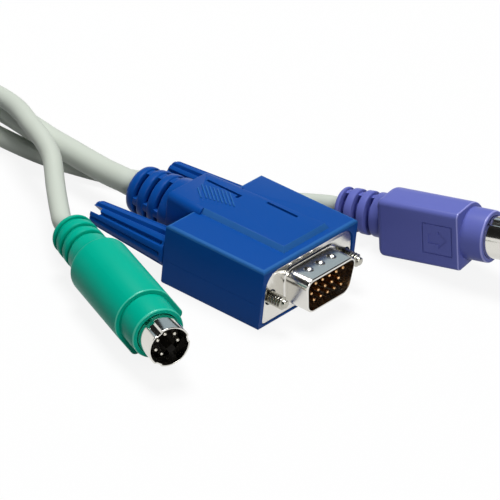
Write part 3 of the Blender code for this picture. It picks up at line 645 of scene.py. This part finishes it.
def round_plug_moulding(collar_length, body_length, boot_length, boot_pitch):
    half, body_end = body_width / 2, collar_length + body_length
    high, back = half - back_sunk, half - 0.01  # a little less than half keeps two corners
    body = drawn(
        ((-half, -body_flat), (half, -body_flat), (half, high), (-half, high)),
        (body_corner, body_corner, back, back),
        collar_length,
        body_end - body_rounding,
        12,
    )
    body.normal_update()
    rounded_off(body, body_end - body_rounding, half, body_rounding)
    soften_where(body, lambda co: co.y < collar_length + 0.01, 0.45)
    body.normal_update()
    # the body's forward rounded edge takes the second material, a painted highlight
    painted_highlight_rim(body, collar_length + 0.5)
    body = carved(body, cut=arrow_mark())
    profile = (
        (collar_depth, 0.0),
        (collar_depth, collar_bore),
        (0.0, collar_bore),
        (0.0, collar_radius),
        (collar_length + collar_sunk, collar_radius),
        (collar_length + collar_sunk, 0.0),
    )
    collar = lathed(profile, 64, {2: 0.15, 3: 0.4})
    # the collar's forward rounded edge takes the second material, a painted highlight
    painted_highlight_rim(collar, 0.45)
    middles = [body_end + boot_length - small_boot_land - boot_pitch * i for i in (2, 1, 0)]
    widths = (small_boot_front, small_boot_rear)
    groove = (small_groove_width, small_groove_depth, 0.3)
    profile, rounded = ringed(body_end - 2, boot_length + 2, widths, middles, groove, 0.8)
    boot = lathed(profile, 56, rounded)
    bridges = []
    for middle in middles:
        front, rear = middle - small_bridge_half, middle + small_bridge_half
        low, high = small_bridge_low, small_bridge_high
        wedge = lathed(((front, low), (rear, low), (rear, high), (front, high)), 40, turn=small_bridge_turn)
        bridges.append(moved(wedge, turn=radians(10) - small_bridge_turn))
    return assembled(body, collar, boot, *bridges)


def placed(spot, *turns):
    """A place from a spot and turns, each an angle in degrees and its axis."""
    place = Matrix.Translation(spot)
    for angle, axis in turns:
        place = place @ Matrix.Rotation(radians(angle), 4, axis)
    return place


green_place = placed((-42.75, -7.99, 8.6), (-24.6, "Z"), (-38, "Y"))
purple_place = placed((35.96, -33.62, 10.65), (8.3, "Z"), (-9.5, "X"), (90, "Y"))
for name, place, finish, rim, sizes in (
    ("green", green_place, green_plastic, green_painted_highlight, (6.3, 22.4, 12.7, 3.1)),
    ("purple", purple_place, purple_plastic, purple_painted_highlight, (5.2, 19.3, 11.4, 3.1)),
):
    new_piece(
        f"{name}_moulding",
        round_plug_moulding(*sizes),
        place,
        finish,
        "cable",
        f"{name}_plastic",
        f"{name}_plug_body",
        # rim: the painted highlight finish of the rounded front edges
        second_finish=rim,
    )

# Round shells: nickel-plated steel tubes around the contacts, rolled at the lip,
# with three keyways pressed in along them that fit the socket one way only
shell_radius, shell_wall, shell_out, shell_in, shell_lip = 4.5, 0.35, 5.15, 3.0, 0.12
keyway_angles, keyway_depth, keyway_half, keyway_flank = (90, -22, 202), 0.3, 0.85, 0.3


def metal(name, code, roughness):
    """Bare or plated metal of one colour."""
    material, _, _, shader = shader_of(name)
    shader.inputs["Base Color"].default_value = linear(code)
    shader.inputs["Metallic"].default_value = 1
    shader.inputs["Roughness"].default_value = roughness
    return material


bright_steel = metal("bright_steel", "D9D7D0", 0.12)


def ring_of(radius, filled=False):
    """A circle of 120 edges about the Y axis, with a face in it if it is filled."""
    bm = bmesh.new()
    bmesh.ops.create_circle(bm, cap_ends=filled, radius=radius, segments=120)
    bmesh.ops.rotate(bm, verts=bm.verts[:], cent=(0, 0, 0), matrix=Matrix.Rotation(pi / 2, 3, "X"))
    return bm


def round_shell():
    bm = ring_of(shell_radius)
    for vert in bm.verts:
        turn = atan2(vert.co.z, vert.co.x)
        for angle in keyway_angles:
            off = abs((turn - radians(angle) + pi) % (2 * pi) - pi) * shell_radius
            share = min(1.0, max(0.0, (keyway_half - off) / keyway_flank))
            vert.co *= 1 - keyway_depth * share / shell_radius
    bmesh.ops.translate(bm, vec=(0, -shell_out, 0), verts=bm.verts[:])
    rim = bm.edges[:]
    for step in (shell_lip, shell_out + shell_in - shell_lip):
        made = bmesh.ops.extrude_edge_only(bm, edges=rim)["geom"]
        verts = [v for v in made if isinstance(v, bmesh.types.BMVert)]
        rim = [e for e in made if isinstance(e, bmesh.types.BMEdge) and e.is_boundary]
        bmesh.ops.translate(bm, vec=(0, step, 0), verts=verts)
    bmesh.ops.recalc_face_normals(bm, faces=bm.faces[:])
    for face in bm.faces:
        middle = face.calc_center_median()
        if face.normal.x * middle.x + face.normal.z * middle.z < 0:
            face.normal_flip()
    bmesh.ops.solidify(bm, geom=bm.faces[:], thickness=shell_wall)
    bmesh.ops.recalc_face_normals(bm, faces=bm.faces[:])
    soften_where(bm, lambda co: co.y < -shell_out + 0.01, 0.13)
    return bm


round_plugs = (("green", green_place), ("purple", purple_place))
for name, place in round_plugs:
    shell = round_shell()
    new_piece(f"{name}_steel_shell", shell, place, bright_steel, "cable", "bright_metal", f"{name}_shell")

# Round plugs' insides: a black nylon block with the square key that goes between
# the contacts, and six plated brass pins in low collars
black_nylon = moulded("black_nylon", "14120F", 0.4, 2600, 0.15, 0.1)
silver_pin = metal("silver_pin", "CFCBC0", 0.28)
core_gap, round_face, key_start, key_side, key_low = 0.45, 3.8 - shell_out, 0.5 - shell_out, 1.6, 1.0
round_pin_radius, round_pin_tip, pin_collar, collar_slope = 0.4, 0.8 - shell_out, 0.7, 0.05
round_pins = ((0.95, 2.5), (-0.95, 2.5), (2.45, 0.95), (-2.45, 0.95), (2.1, -0.85), (-2.1, -0.85))


def round_core():
    disc = rod(shell_in, round_face, shell_radius - shell_wall - core_gap, 64, 0.15)
    low, high = -key_low - key_side / 2, -key_low + key_side / 2
    key = block((-key_side / 2, key_start, low), (key_side / 2, round_face + 1, high), 0.12)
    rear, front = round_face + 0.2, round_face - 0.12
    profile = ((rear, 0.0), (rear, pin_collar + collar_slope), (front, pin_collar), (front, 0.0))
    return assembled(disc, key, *[moved(lathed(profile, 20), x, 0, z) for x, z in round_pins])


def contact_pin(radius, tip, base):
    """A turned pin with a rounded end."""
    return rod(base, tip, radius, 16, radius * 0.75)


for name, place in round_plugs:
    new_piece(f"{name}_core", round_core(), place, black_nylon, "cable", "black_plastic", f"{name}_insulator")
    pins = [moved(contact_pin(round_pin_radius, round_pin_tip, 0.0), x, 0, z) for x, z in round_pins]
    pins, replaced = assembled(*pins), [f"{name}_pin_{number}" for number in range(1, 7)]
    new_piece(f"{name}_pins", pins, place, silver_pin, "cable", "pin_metal", *replaced)

# Blue hoods of the video plugs: one PVC moulding of a square block, a raised panel
# with a grip, a neck and a slotted boot; the steel flange sits in its front
screw_spacing, axis_height, bore_radius = 25.0, 6.7, 1.75
hood_width, hood_length, hood_height = 31.5, 25.8, 13.9
panel_width, panel_rise, panel_setback = 15.2, 1.15, 2.0
panel_slope, panel_aside, panel_taper, panel_sunk = 0.75, 0.8, 1.6, 0.5
neck_length, neck_width, neck_corner, neck_sunk = 7.2, 15.2, 1.6, 2.0
panel_short, neck_under = 0.07, 0.013  # keep faces that are to be joined out of one plane
boot_length, boot_front, boot_rear, boot_height, boot_pitch, boot_land = 12.6, 6.9, 5.2, 8.1, 3.15, 3.0
groove_width, groove_depth, spine_half, spine_front, spine_thick = 1.05, 1.9, 5.15, 6.6, 1.7
bridge_half, bridge_low, bridge_high, bridge_fall, bridge_turn = 0.8, 3.2, 6.45, 0.13, radians(26)
well_depth, well_gap = 4.3, 0.5
slots = (((5.1, -4.7), (5.8, 3.3)), ((3.1, 8.6), (3.8, 17.8)), ((2.2, 8.6), (3.4, 9.3)))
slot_depth, parting_height, parting_groove = 0.9, 5.6, 0.04
rib_count, rib_turn, rib_half, rib_thick, rib_rise = 9, 49, 2.9, 0.34, 0.24
rib_start, rib_step, short_rib, short_rib_half = (-1.05, 15.95), (0.236, -0.867), (-2.0, 15.4), 2.1
flange_width, flange_height, flange_thick, hood_gap, rim_depth = 29.1, 12.0, 0.8, 0.12, 0.2
plate_low_corner, plate_high_corner = 1.3, 3.6
shell_width, shell_height, shell_corner, shell_slant = 16.92, 8.36, 2.3, radians(10)
blue_plastic = moulded("blue_moulding", "0C4B9C", 0.36, 2600, 0.12, 0.06)
# The textured blue is the moulding's blue made rougher and more grained, and painted lighter as a highlight
# on the block's rounded long edges, the panel's sloping sides and the grip's ribs
textured_highlit_blue = moulded("textured_highlit_blue", "2A64A8", 0.6, 5200, 0.9, 0.2)
hood_front, hood_rear = -hood_length / 2, hood_length / 2
flange_face = hood_front + rim_depth


def plate_outline(grow):
    """Corners and radii of the flange's plate, wide corners above."""
    x, z = flange_width / 2 + grow, flange_height / 2 + grow
    low, high = plate_low_corner + grow, plate_high_corner + grow
    return ((-x, -z), (x, -z), (x, z), (-x, z)), (low, low, high, high)


def d_corners(shrink):
    """Corners and radii of the D-shaped outline, its wide side up."""
    half, level = shell_width / 2 - shrink, shell_height / 2 - shrink
    low = half - 2 * level * tan(shell_slant)
    return ((-low, -level), (low, -level), (half, level), (-half, level)), [shell_corner - shrink] * 4


def screw_bores(front, rear, height):
    """Cutters for the two holes that the screws go through."""
    half = screw_spacing / 2
    return [moved(rod(front, rear, bore_radius, 32), x=x, z=height) for x in (-half, half)]


def hood_block():
    """The square block, its long edges in the second material, a lighter blue that is a painted highlight."""
    half = hood_width / 2
    bm = block((-half, hood_front, 0), (half, hood_rear, hood_height))
    soften_where(bm, lambda co: co.z > 1, 0.75)
    for face in bm.faces:
        face.material_index = int(max(abs(c) for c in face.normal) < 0.99)
    soften_where(bm, lambda co: co.z < 0.01, 0.5, 2)
    return bm


def hood_panel(top):
    """The raised panel, its sloping sides in the second material, a lighter blue that is a painted highlight.
    """
    half = panel_width / 2
    bm = block(
        (panel_aside - half, hood_front + panel_setback, hood_height - panel_sunk),
        (panel_aside + half, hood_rear - panel_short, top),
    )
    for vert in bm.verts:
        inward = panel_slope if vert.co.z > hood_height else -panel_slope * panel_sunk / panel_rise
        vert.co.x += inward if vert.co.x < 0 else -inward
        if vert.co.y < 0:
            vert.co.y += inward
        if vert.co.y > 0 and vert.co.x > 0:
            vert.co.x -= panel_taper
    bm.normal_update()
    for face in bm.faces:
        face.material_index = int(0.1 < face.normal.z < 0.99)
    soften_where(bm, lambda co: co.z > hood_height, 0.12, 2)
    return bm


def hood_neck(top, end):
    """The neck behind the block, drawn in to the boot's width at its end."""
    half = neck_width / 2
    bm = block((-half, hood_rear - neck_sunk, boot_height - boot_front), (half, end, top - neck_under))
    soften(bm, [e for e in bm.edges if abs(e.verts[0].co.y - e.verts[1].co.y) > 1], neck_corner, 4)
    for vert in bm.verts:
        if vert.co.y > end - 0.01:
            vert.co.x *= boot_front / half
    soften_where(bm, lambda co: co.y > end - 0.01, 0.4, 2)
    return bm


def hood_boot(front):
    """The boot's grooved cone, the flat spine through it and the grooves' bridges."""
    rear = front + boot_length
    middles = [rear - boot_land - boot_pitch * i for i in (2, 1, 0)]
    widths, groove = (boot_front - 0.1, boot_rear), (groove_width, groove_depth, 0.5)
    profile, rounded = ringed(front - 1, boot_length + 1, widths, middles, groove, 1.3)
    cone = moved(lathed(profile, 64, rounded), z=boot_height)
    low, high = boot_height - spine_thick / 2, boot_height + spine_thick / 2
    spine = block((-spine_half, front - 0.5, low), (spine_half, rear - 1.6, high))
    for vert in spine.verts:
        if vert.co.y < front:
            vert.co.x *= spine_front / spine_half
    soften_where(spine, lambda co: True, 0.2, 2)
    bridges = []
    for middle in middles:
        for towards in (90, -90):
            reach = bridge_high - (middle - front) * bridge_fall
            fore, aft = middle - bridge_half, middle + bridge_half
            profile = ((fore, bridge_low), (aft, bridge_low), (aft, reach - 0.1), (fore, reach))
            wedge = lathed(profile, 8, turn=bridge_turn)
            bridges.append(moved(wedge, z=boot_height, turn=radians(-towards) - bridge_turn / 2))
    return cone, spine, *bridges


def hood_grip(top):
    """Slanting ribs on the neck, the first one cut short by the panel's corner; they take the second
    material, a lighter blue that is a painted highlight.
    """
    ribs = []
    for i in range(rib_count):
        half, (x, y) = short_rib_half, short_rib
        if i:
            half, x, y = rib_half, rib_start[0] + rib_step[0] * i, rib_start[1] + rib_step[1] * i
        rib = block((-half, -rib_thick / 2, top - 0.3), (half, rib_thick / 2, top + rib_rise), 0.14, 2)
        rib.transform(placed((x, y, 0), (rib_turn, "Z")))
        for face in rib.faces:
            face.material_index = 1
        ribs.append(rib)
    return ribs


def hood_moulding():
    top, neck_end, half = hood_height + panel_rise, hood_rear + neck_length, hood_width / 2
    panel, neck = hood_panel(top), hood_neck(top, neck_end)
    pocket = drawn(*plate_outline(hood_gap), hood_front - 1, flange_face + flange_thick + 0.1, 8)
    well = drawn(*d_corners(well_gap), hood_front - 1, flange_face + well_depth)
    cutters = [moved(pocket, z=axis_height), moved(well, z=axis_height)]
    cutters += screw_bores(hood_front - 2, hood_rear + 2, axis_height)
    cutters += [block((*low, top - slot_depth), (*high, top + 1)) for low, high in slots]
    for x in (-half, half):
        low = (x - parting_groove, hood_front + 0.8, parting_height)
        cutters.append(block(low, (x + parting_groove, hood_rear - 0.8, parting_height + 0.1)))
    body = carved(hood_block(), cut=cutters, joined=(panel, neck))
    return assembled(body, *hood_boot(neck_end), *hood_grip(top))


far_place = Matrix.Translation((far_x, far_y, 0)) @ Matrix.Rotation(far_turn, 4, "Z")
video_plugs = (("video", Matrix()), ("far", far_place))
for name, place in video_plugs:
    new_piece(
        f"{name}_hood_moulding",
        hood_moulding(),
        place,
        blue_plastic,
        "cable",
        "blue_plastic",
        f"{name}_hood",
        second_finish=textured_highlit_blue,
    )

# Flanges: plated steel sheet, the D-shaped shell drawn out of the plate, with
# three dimples pressed into each long side that grip the socket
plated_steel = metal("plated_steel", "DEDCD6", 0.22)
sheet_thick, tube_wall, tube_length, tube_lip, tube_sunk = 0.6, 0.5, 5.9, 0.3, 0.3
foot_wide, foot_high, foot_corner, foot_rounding = 0.75, 0.45, 3.0, 0.4
dimple_radius, dimple_pitch, dimple_back, dimple_out = 1.6, 3.8, 2.65, 1.17


def flange():
    plate = drawn(*plate_outline(0), flange_face, flange_face + sheet_thick, 8)
    soften_where(plate, lambda co: co.y < flange_face + 0.01, 0.15, 2)
    rear = flange_face + tube_sunk
    tube = drawn(*d_corners(0), flange_face - tube_length, rear, 8)
    soften_where(tube, lambda co: co.y < flange_face - tube_length + 0.1, tube_lip, 4)
    foot = drawn(d_corners(-foot_wide)[0], [foot_corner] * 4, flange_face - foot_high, rear, 8)
    soften_where(foot, lambda co: co.y < flange_face - foot_high + 0.05, foot_rounding)
    cutters = [drawn(*d_corners(tube_wall), flange_face - 7, flange_face + 2, 8)]
    for x in (-dimple_pitch, 0.0, dimple_pitch):
        for side in (-1, 1):
            ball = bmesh.new()
            bmesh.ops.create_uvsphere(ball, u_segments=24, v_segments=16, radius=dimple_radius)
            z = side * (shell_height / 2 + dimple_out)
            cutters.append(moved(ball, x=x, y=flange_face - dimple_back, z=z))
    cutters += screw_bores(flange_face - 1, flange_face + 2, 0)
    return moved(carved(plate, cut=cutters, joined=(tube, foot)), z=axis_height)


for name, place in video_plugs:
    sheet = flange()
    new_piece(f"{name}_flange", sheet, place, plated_steel, "cable", "bright_metal", f"{name}_flange_shell")

# Insulators: dark brown-black nylon blocks in the D shells, with fifteen gold
# pins in three rows, the middle one half a pitch aside
pin_pitch, row_pitch, pin_radius, pin_tip = 2.29, 1.98, 0.38, 5.15
face_out, core_wall, core_depth, seat_radius = 0.8, 0.6, 4.0, 0.62
dark_nylon = moulded("dark_nylon", "261710", 0.42, 2600, 0.15, 0.1)
gold_pin = metal("gold_pin", "DCAE7A", 0.16)
pin_spots = [
    ((column - 2 + (0.25 if row != 1 else -0.25)) * pin_pitch, axis_height + (1 - row) * row_pitch)
    for row in range(3)
    for column in range(5)
]
core_face = flange_face - face_out
for name, place in video_plugs:
    core = moved(drawn(*d_corners(core_wall), core_face, flange_face + core_depth, 8), z=axis_height)
    seats = [moved(rod(core_face + 0.2, core_face - 0.1, seat_radius, 20), x, 0, z) for x, z in pin_spots]
    core = assembled(core, *seats)
    new_piece(f"{name}_core", core, place, dark_nylon, "cable", "black_plastic", f"{name}_insulator")
    tip = flange_face - pin_tip
    pins = assembled(*[moved(contact_pin(pin_radius, tip, flange_face), x, 0, z) for x, z in pin_spots])
    replaced = []
    if name == "video":
        replaced = [f"video_insulator_pin_{row}_{column}" for row in (1, 2, 3) for column in range(1, 6)]
    new_piece(f"{name}_contacts", pins, place, gold_pin, "cable", "pin_metal", *replaced)

# Thumbscrews: a threaded steel screw pressed into a fluted knob of the same PVC,
# slotted at its end for a screwdriver; each turns by itself
screw_radius, screw_tip, screw_reach = 1.4, 4.3, 14.0
thread_pitch, thread_depth, thread_turns, thread_steps = 0.64, 0.5, 12, 24
thread_shape = ((-0.05, 0.38), (thread_depth, 0.58), (thread_depth, 0.66), (-0.05, 0.86))
knob_gap, knob_length, knob_front, knob_rear, knob_flutes, knob_bore = 0.3, 20.6, 4.0, 2.7, 10, 1.7
knob_slot_half, knob_slot_depth = 0.75, 2.6
zinc_steel = metal("zinc_steel", "B4B2A8", 0.24)


def thumb_knob(slot_turn):
    start = hood_rear + knob_gap
    end = start + knob_length
    bm = ring_of(1.0, filled=True)
    stations = (
        (start, knob_front - 0.45, 0.1),
        (start + 0.15, knob_front - 0.12, 0.1),
        (start + 0.5, knob_front, 0.15),
        (start + 1.0, knob_front - 0.02, 0.8),
        (end - 0.8, knob_rear + 0.05, 0.7),
        (end - 0.2, knob_rear - 0.15, 0.3),
        (end, knob_rear - 0.45, 0.1),
    )
    rows, last = [bm.verts[:]], bm.faces[:]
    for _ in stations[1:]:
        verts, last = pulled(bm, last)
        rows.append(verts)
    for row, (y, radius, depth) in zip(rows, stations):
        for vert in row:
            turn = atan2(vert.co.z, vert.co.x)
            deep = depth * max(0.0, cos(turn * knob_flutes)) ** 1.5
            vert.co = ((radius - deep) * cos(turn), y, (radius - deep) * sin(turn))
    bmesh.ops.recalc_face_normals(bm, faces=bm.faces[:])
    slot = block((-knob_slot_half, end - knob_slot_depth, -5), (knob_slot_half, end + 1, 5))
    bore = rod(start - 1, start + 14, knob_bore, 32)
    return carved(bm, cut=(moved(slot, turn=slot_turn), bore))


def thumb_screw():
    tip, root = flange_face - screw_tip, screw_radius - thread_depth
    core = rod(hood_rear + screw_reach, tip, root, 32, 0.3)
    ridge = bmesh.new()
    verts = [ridge.verts.new((root + out, tip + along, 0)) for out, along in thread_shape]
    for pair in zip(verts, verts[1:]):
        ridge.edges.new(pair)
    bmesh.ops.spin(
        ridge,
        geom=ridge.verts[:] + ridge.edges[:],
        axis=(0, 1, 0),
        cent=(0, 0, 0),
        dvec=(0, thread_pitch / thread_steps, 0),
        angle=2 * pi * thread_turns,
        steps=thread_turns * thread_steps,
    )
    bmesh.ops.recalc_face_normals(ridge, faces=ridge.faces[:])
    return assembled(core, ridge)


for plug, place in video_plugs:
    for word, side, slot_turn in (("left", -1, radians(-45)), ("right", 1, radians(50))):
        shift = place @ Matrix.Translation((side * screw_spacing / 2, 0, axis_height))
        name = f"{plug}_{word}"
        body, knob = f"{name}_thumbscrew", thumb_knob(slot_turn)
        new_piece(f"{name}_thumb_knob", knob, shift, blue_plastic, body, "blue_plastic", f"{name}_knob")
        new_piece(f"{name}_thread", thumb_screw(), shift, zinc_steel, body, "bright_metal", f"{name}_screw")

# Junction: an ivory PVC block moulded over the splice. The three tails go in
# through short collars, and the trunk leaves through a ringed boot
ivory_moulding = moulded("ivory_moulding", "CDD0C3", 0.45, 2600, 0.25, 0.08)
junction_width, junction_height, junction_length = 18.0, 8.4, 22.0
junction_taper, taper_start, junction_corner, junction_edge = 0.56, 0.55, 2.6, 0.8
tail_collars = ((video_entry, 3.2), (green_entry, 2.5), (purple_entry, 2.5))
boot_radii, boot_grooves, boot_groove, boot_out = (4.0, 3.8), (2.4, 5.0, 7.6), (1.1, 0.55, 0.3), 10.0


def junction_block():
    half = junction_width / 2
    bm = block((-half, 0, 0), (half, junction_length, junction_height))
    bmesh.ops.bisect_plane(
        bm,
        geom=bm.verts[:] + bm.edges[:] + bm.faces[:],
        plane_co=(0, junction_length * taper_start, 0),
        plane_no=(0, 1, 0),
    )
    for vert in bm.verts:
        if vert.co.y > junction_length - 0.1:
            vert.co.x *= junction_taper
    lengthways = [e for e in bm.edges if abs(e.verts[0].co.y - e.verts[1].co.y) > 1]
    soften(bm, [e for e in lengthways if e.calc_face_angle(0) > 0.3], junction_corner, 6)
    soften_where(bm, lambda co: co.y < 0.01, junction_edge)
    soften_where(bm, lambda co: co.y > junction_length - 0.01, junction_edge)
    collars = [
        moved(rod(1.0, -0.2, radius, 40, 0.3), x=offset, z=junction_middle) for offset, radius in tail_collars
    ]
    middles = [junction_length + y for y in boot_grooves]
    profile, rounded = ringed(junction_length - 1, boot_out + 1, boot_radii, middles, boot_groove, 0.5)
    return assembled(bm, *collars, moved(lathed(profile, 48, rounded), z=junction_middle))


junction = junction_block()
new_piece(
    "junction_moulding", junction, junction_place, ivory_moulding, "cable", "cable_jacket", "cable_junction"
)

# Tie: a natural nylon strap round the coil's turns, drawn through its square
# head; its toothed free end lies on the top turns
nylon = moulded("natural_nylon", "E2E1D6", 0.35, 1800, 0.1, 0.05)
strap_width, strap_thick, strap_slack = 4.8, 1.1, 0.3
head_aside, head_half, head_height, tongue_half, tooth_pitch = 8.0, (3.2, 3.5), 4.6, 1.8, 0.5


def tie_strap():
    half = coil_pitch / 2
    outer, inner = outer_turn + half + strap_slack, outer_turn - 3 * coil_pitch - half - strap_slack
    shoulder = inner + 3 * coil_pitch + 2 * strap_slack
    top, side = 2 * coil_pitch + tie_lift + strap_slack, coil_pitch + tie_lift
    inside = ((inner, strap_thick), (outer, strap_thick), (outer, side), (shoulder, top), (inner, top))
    outside = (
        (inner - strap_thick, 0),
        (outer + strap_thick, 0),
        (outer + strap_thick, side + strap_thick / 2),
        (shoulder + strap_thick / 2, top + strap_thick),
        (inner - strap_thick, top + strap_thick),
    )
    front, rear = -strap_width / 2, strap_width / 2
    hole = drawn(inside, (1.2, 1.2, 1.0, 1.0, 1.2), front - 1, rear + 1)
    strap = carved(drawn(outside, (2.2, 2.2, 1.6, 1.6, 2.2), front, rear), cut=(hole,))
    x, low = (inner + outer) / 2 - head_aside, top + strap_thick / 2
    across, along = head_half
    head = block((x - across, -along, low), (x + across, along, low + head_height), 0.7, 4)
    window = block((x - 4, -tongue_half - 0.1, low + 2.4), (x + 4, tongue_half + 0.1, low + 3.7))
    head = carved(head, cut=(window,))
    tongue = block((x - 7.5, -tongue_half, low + 2.6), (x + 4.2, tongue_half, low + 3.5), 0.2, 2)
    teeth = []
    for i in range(7):
        start = x - 7.0 + tooth_pitch * i
        teeth.append(block((start, -1.3, low + 3.4), (start + 0.2, 1.3, low + 3.6)))
    return assembled(strap, head, tongue, *teeth)


tie_place = Matrix.Translation((coil_x, coil_y, 0)) @ Matrix.Rotation(tie_turn, 4, "Z")
new_piece("tie_strap", tie_strap(), tie_place, nylon, "cable", "tie_nylon", "coil_tie")

# CAD nodes: finer pieces stand for all of them here, and each still takes the
# finish of its material slot, so that it looks the same wherever it is shown
finish_of = {
    "blue_plastic": blue_plastic,
    "green_plastic": green_plastic,
    "purple_plastic": purple_plastic,
    "black_plastic": black_nylon,
    "cable_jacket": cable_jacket,
    "tie_nylon": nylon,
    "bright_metal": bright_steel,
    "pin_metal": gold_pin,
}
for part in frame["record"]["subparts"]:
    node = frame["nodes"][part["node"]]
    node.data.materials.clear()
    node.data.materials.append(finish_of[part["material_slot"]])
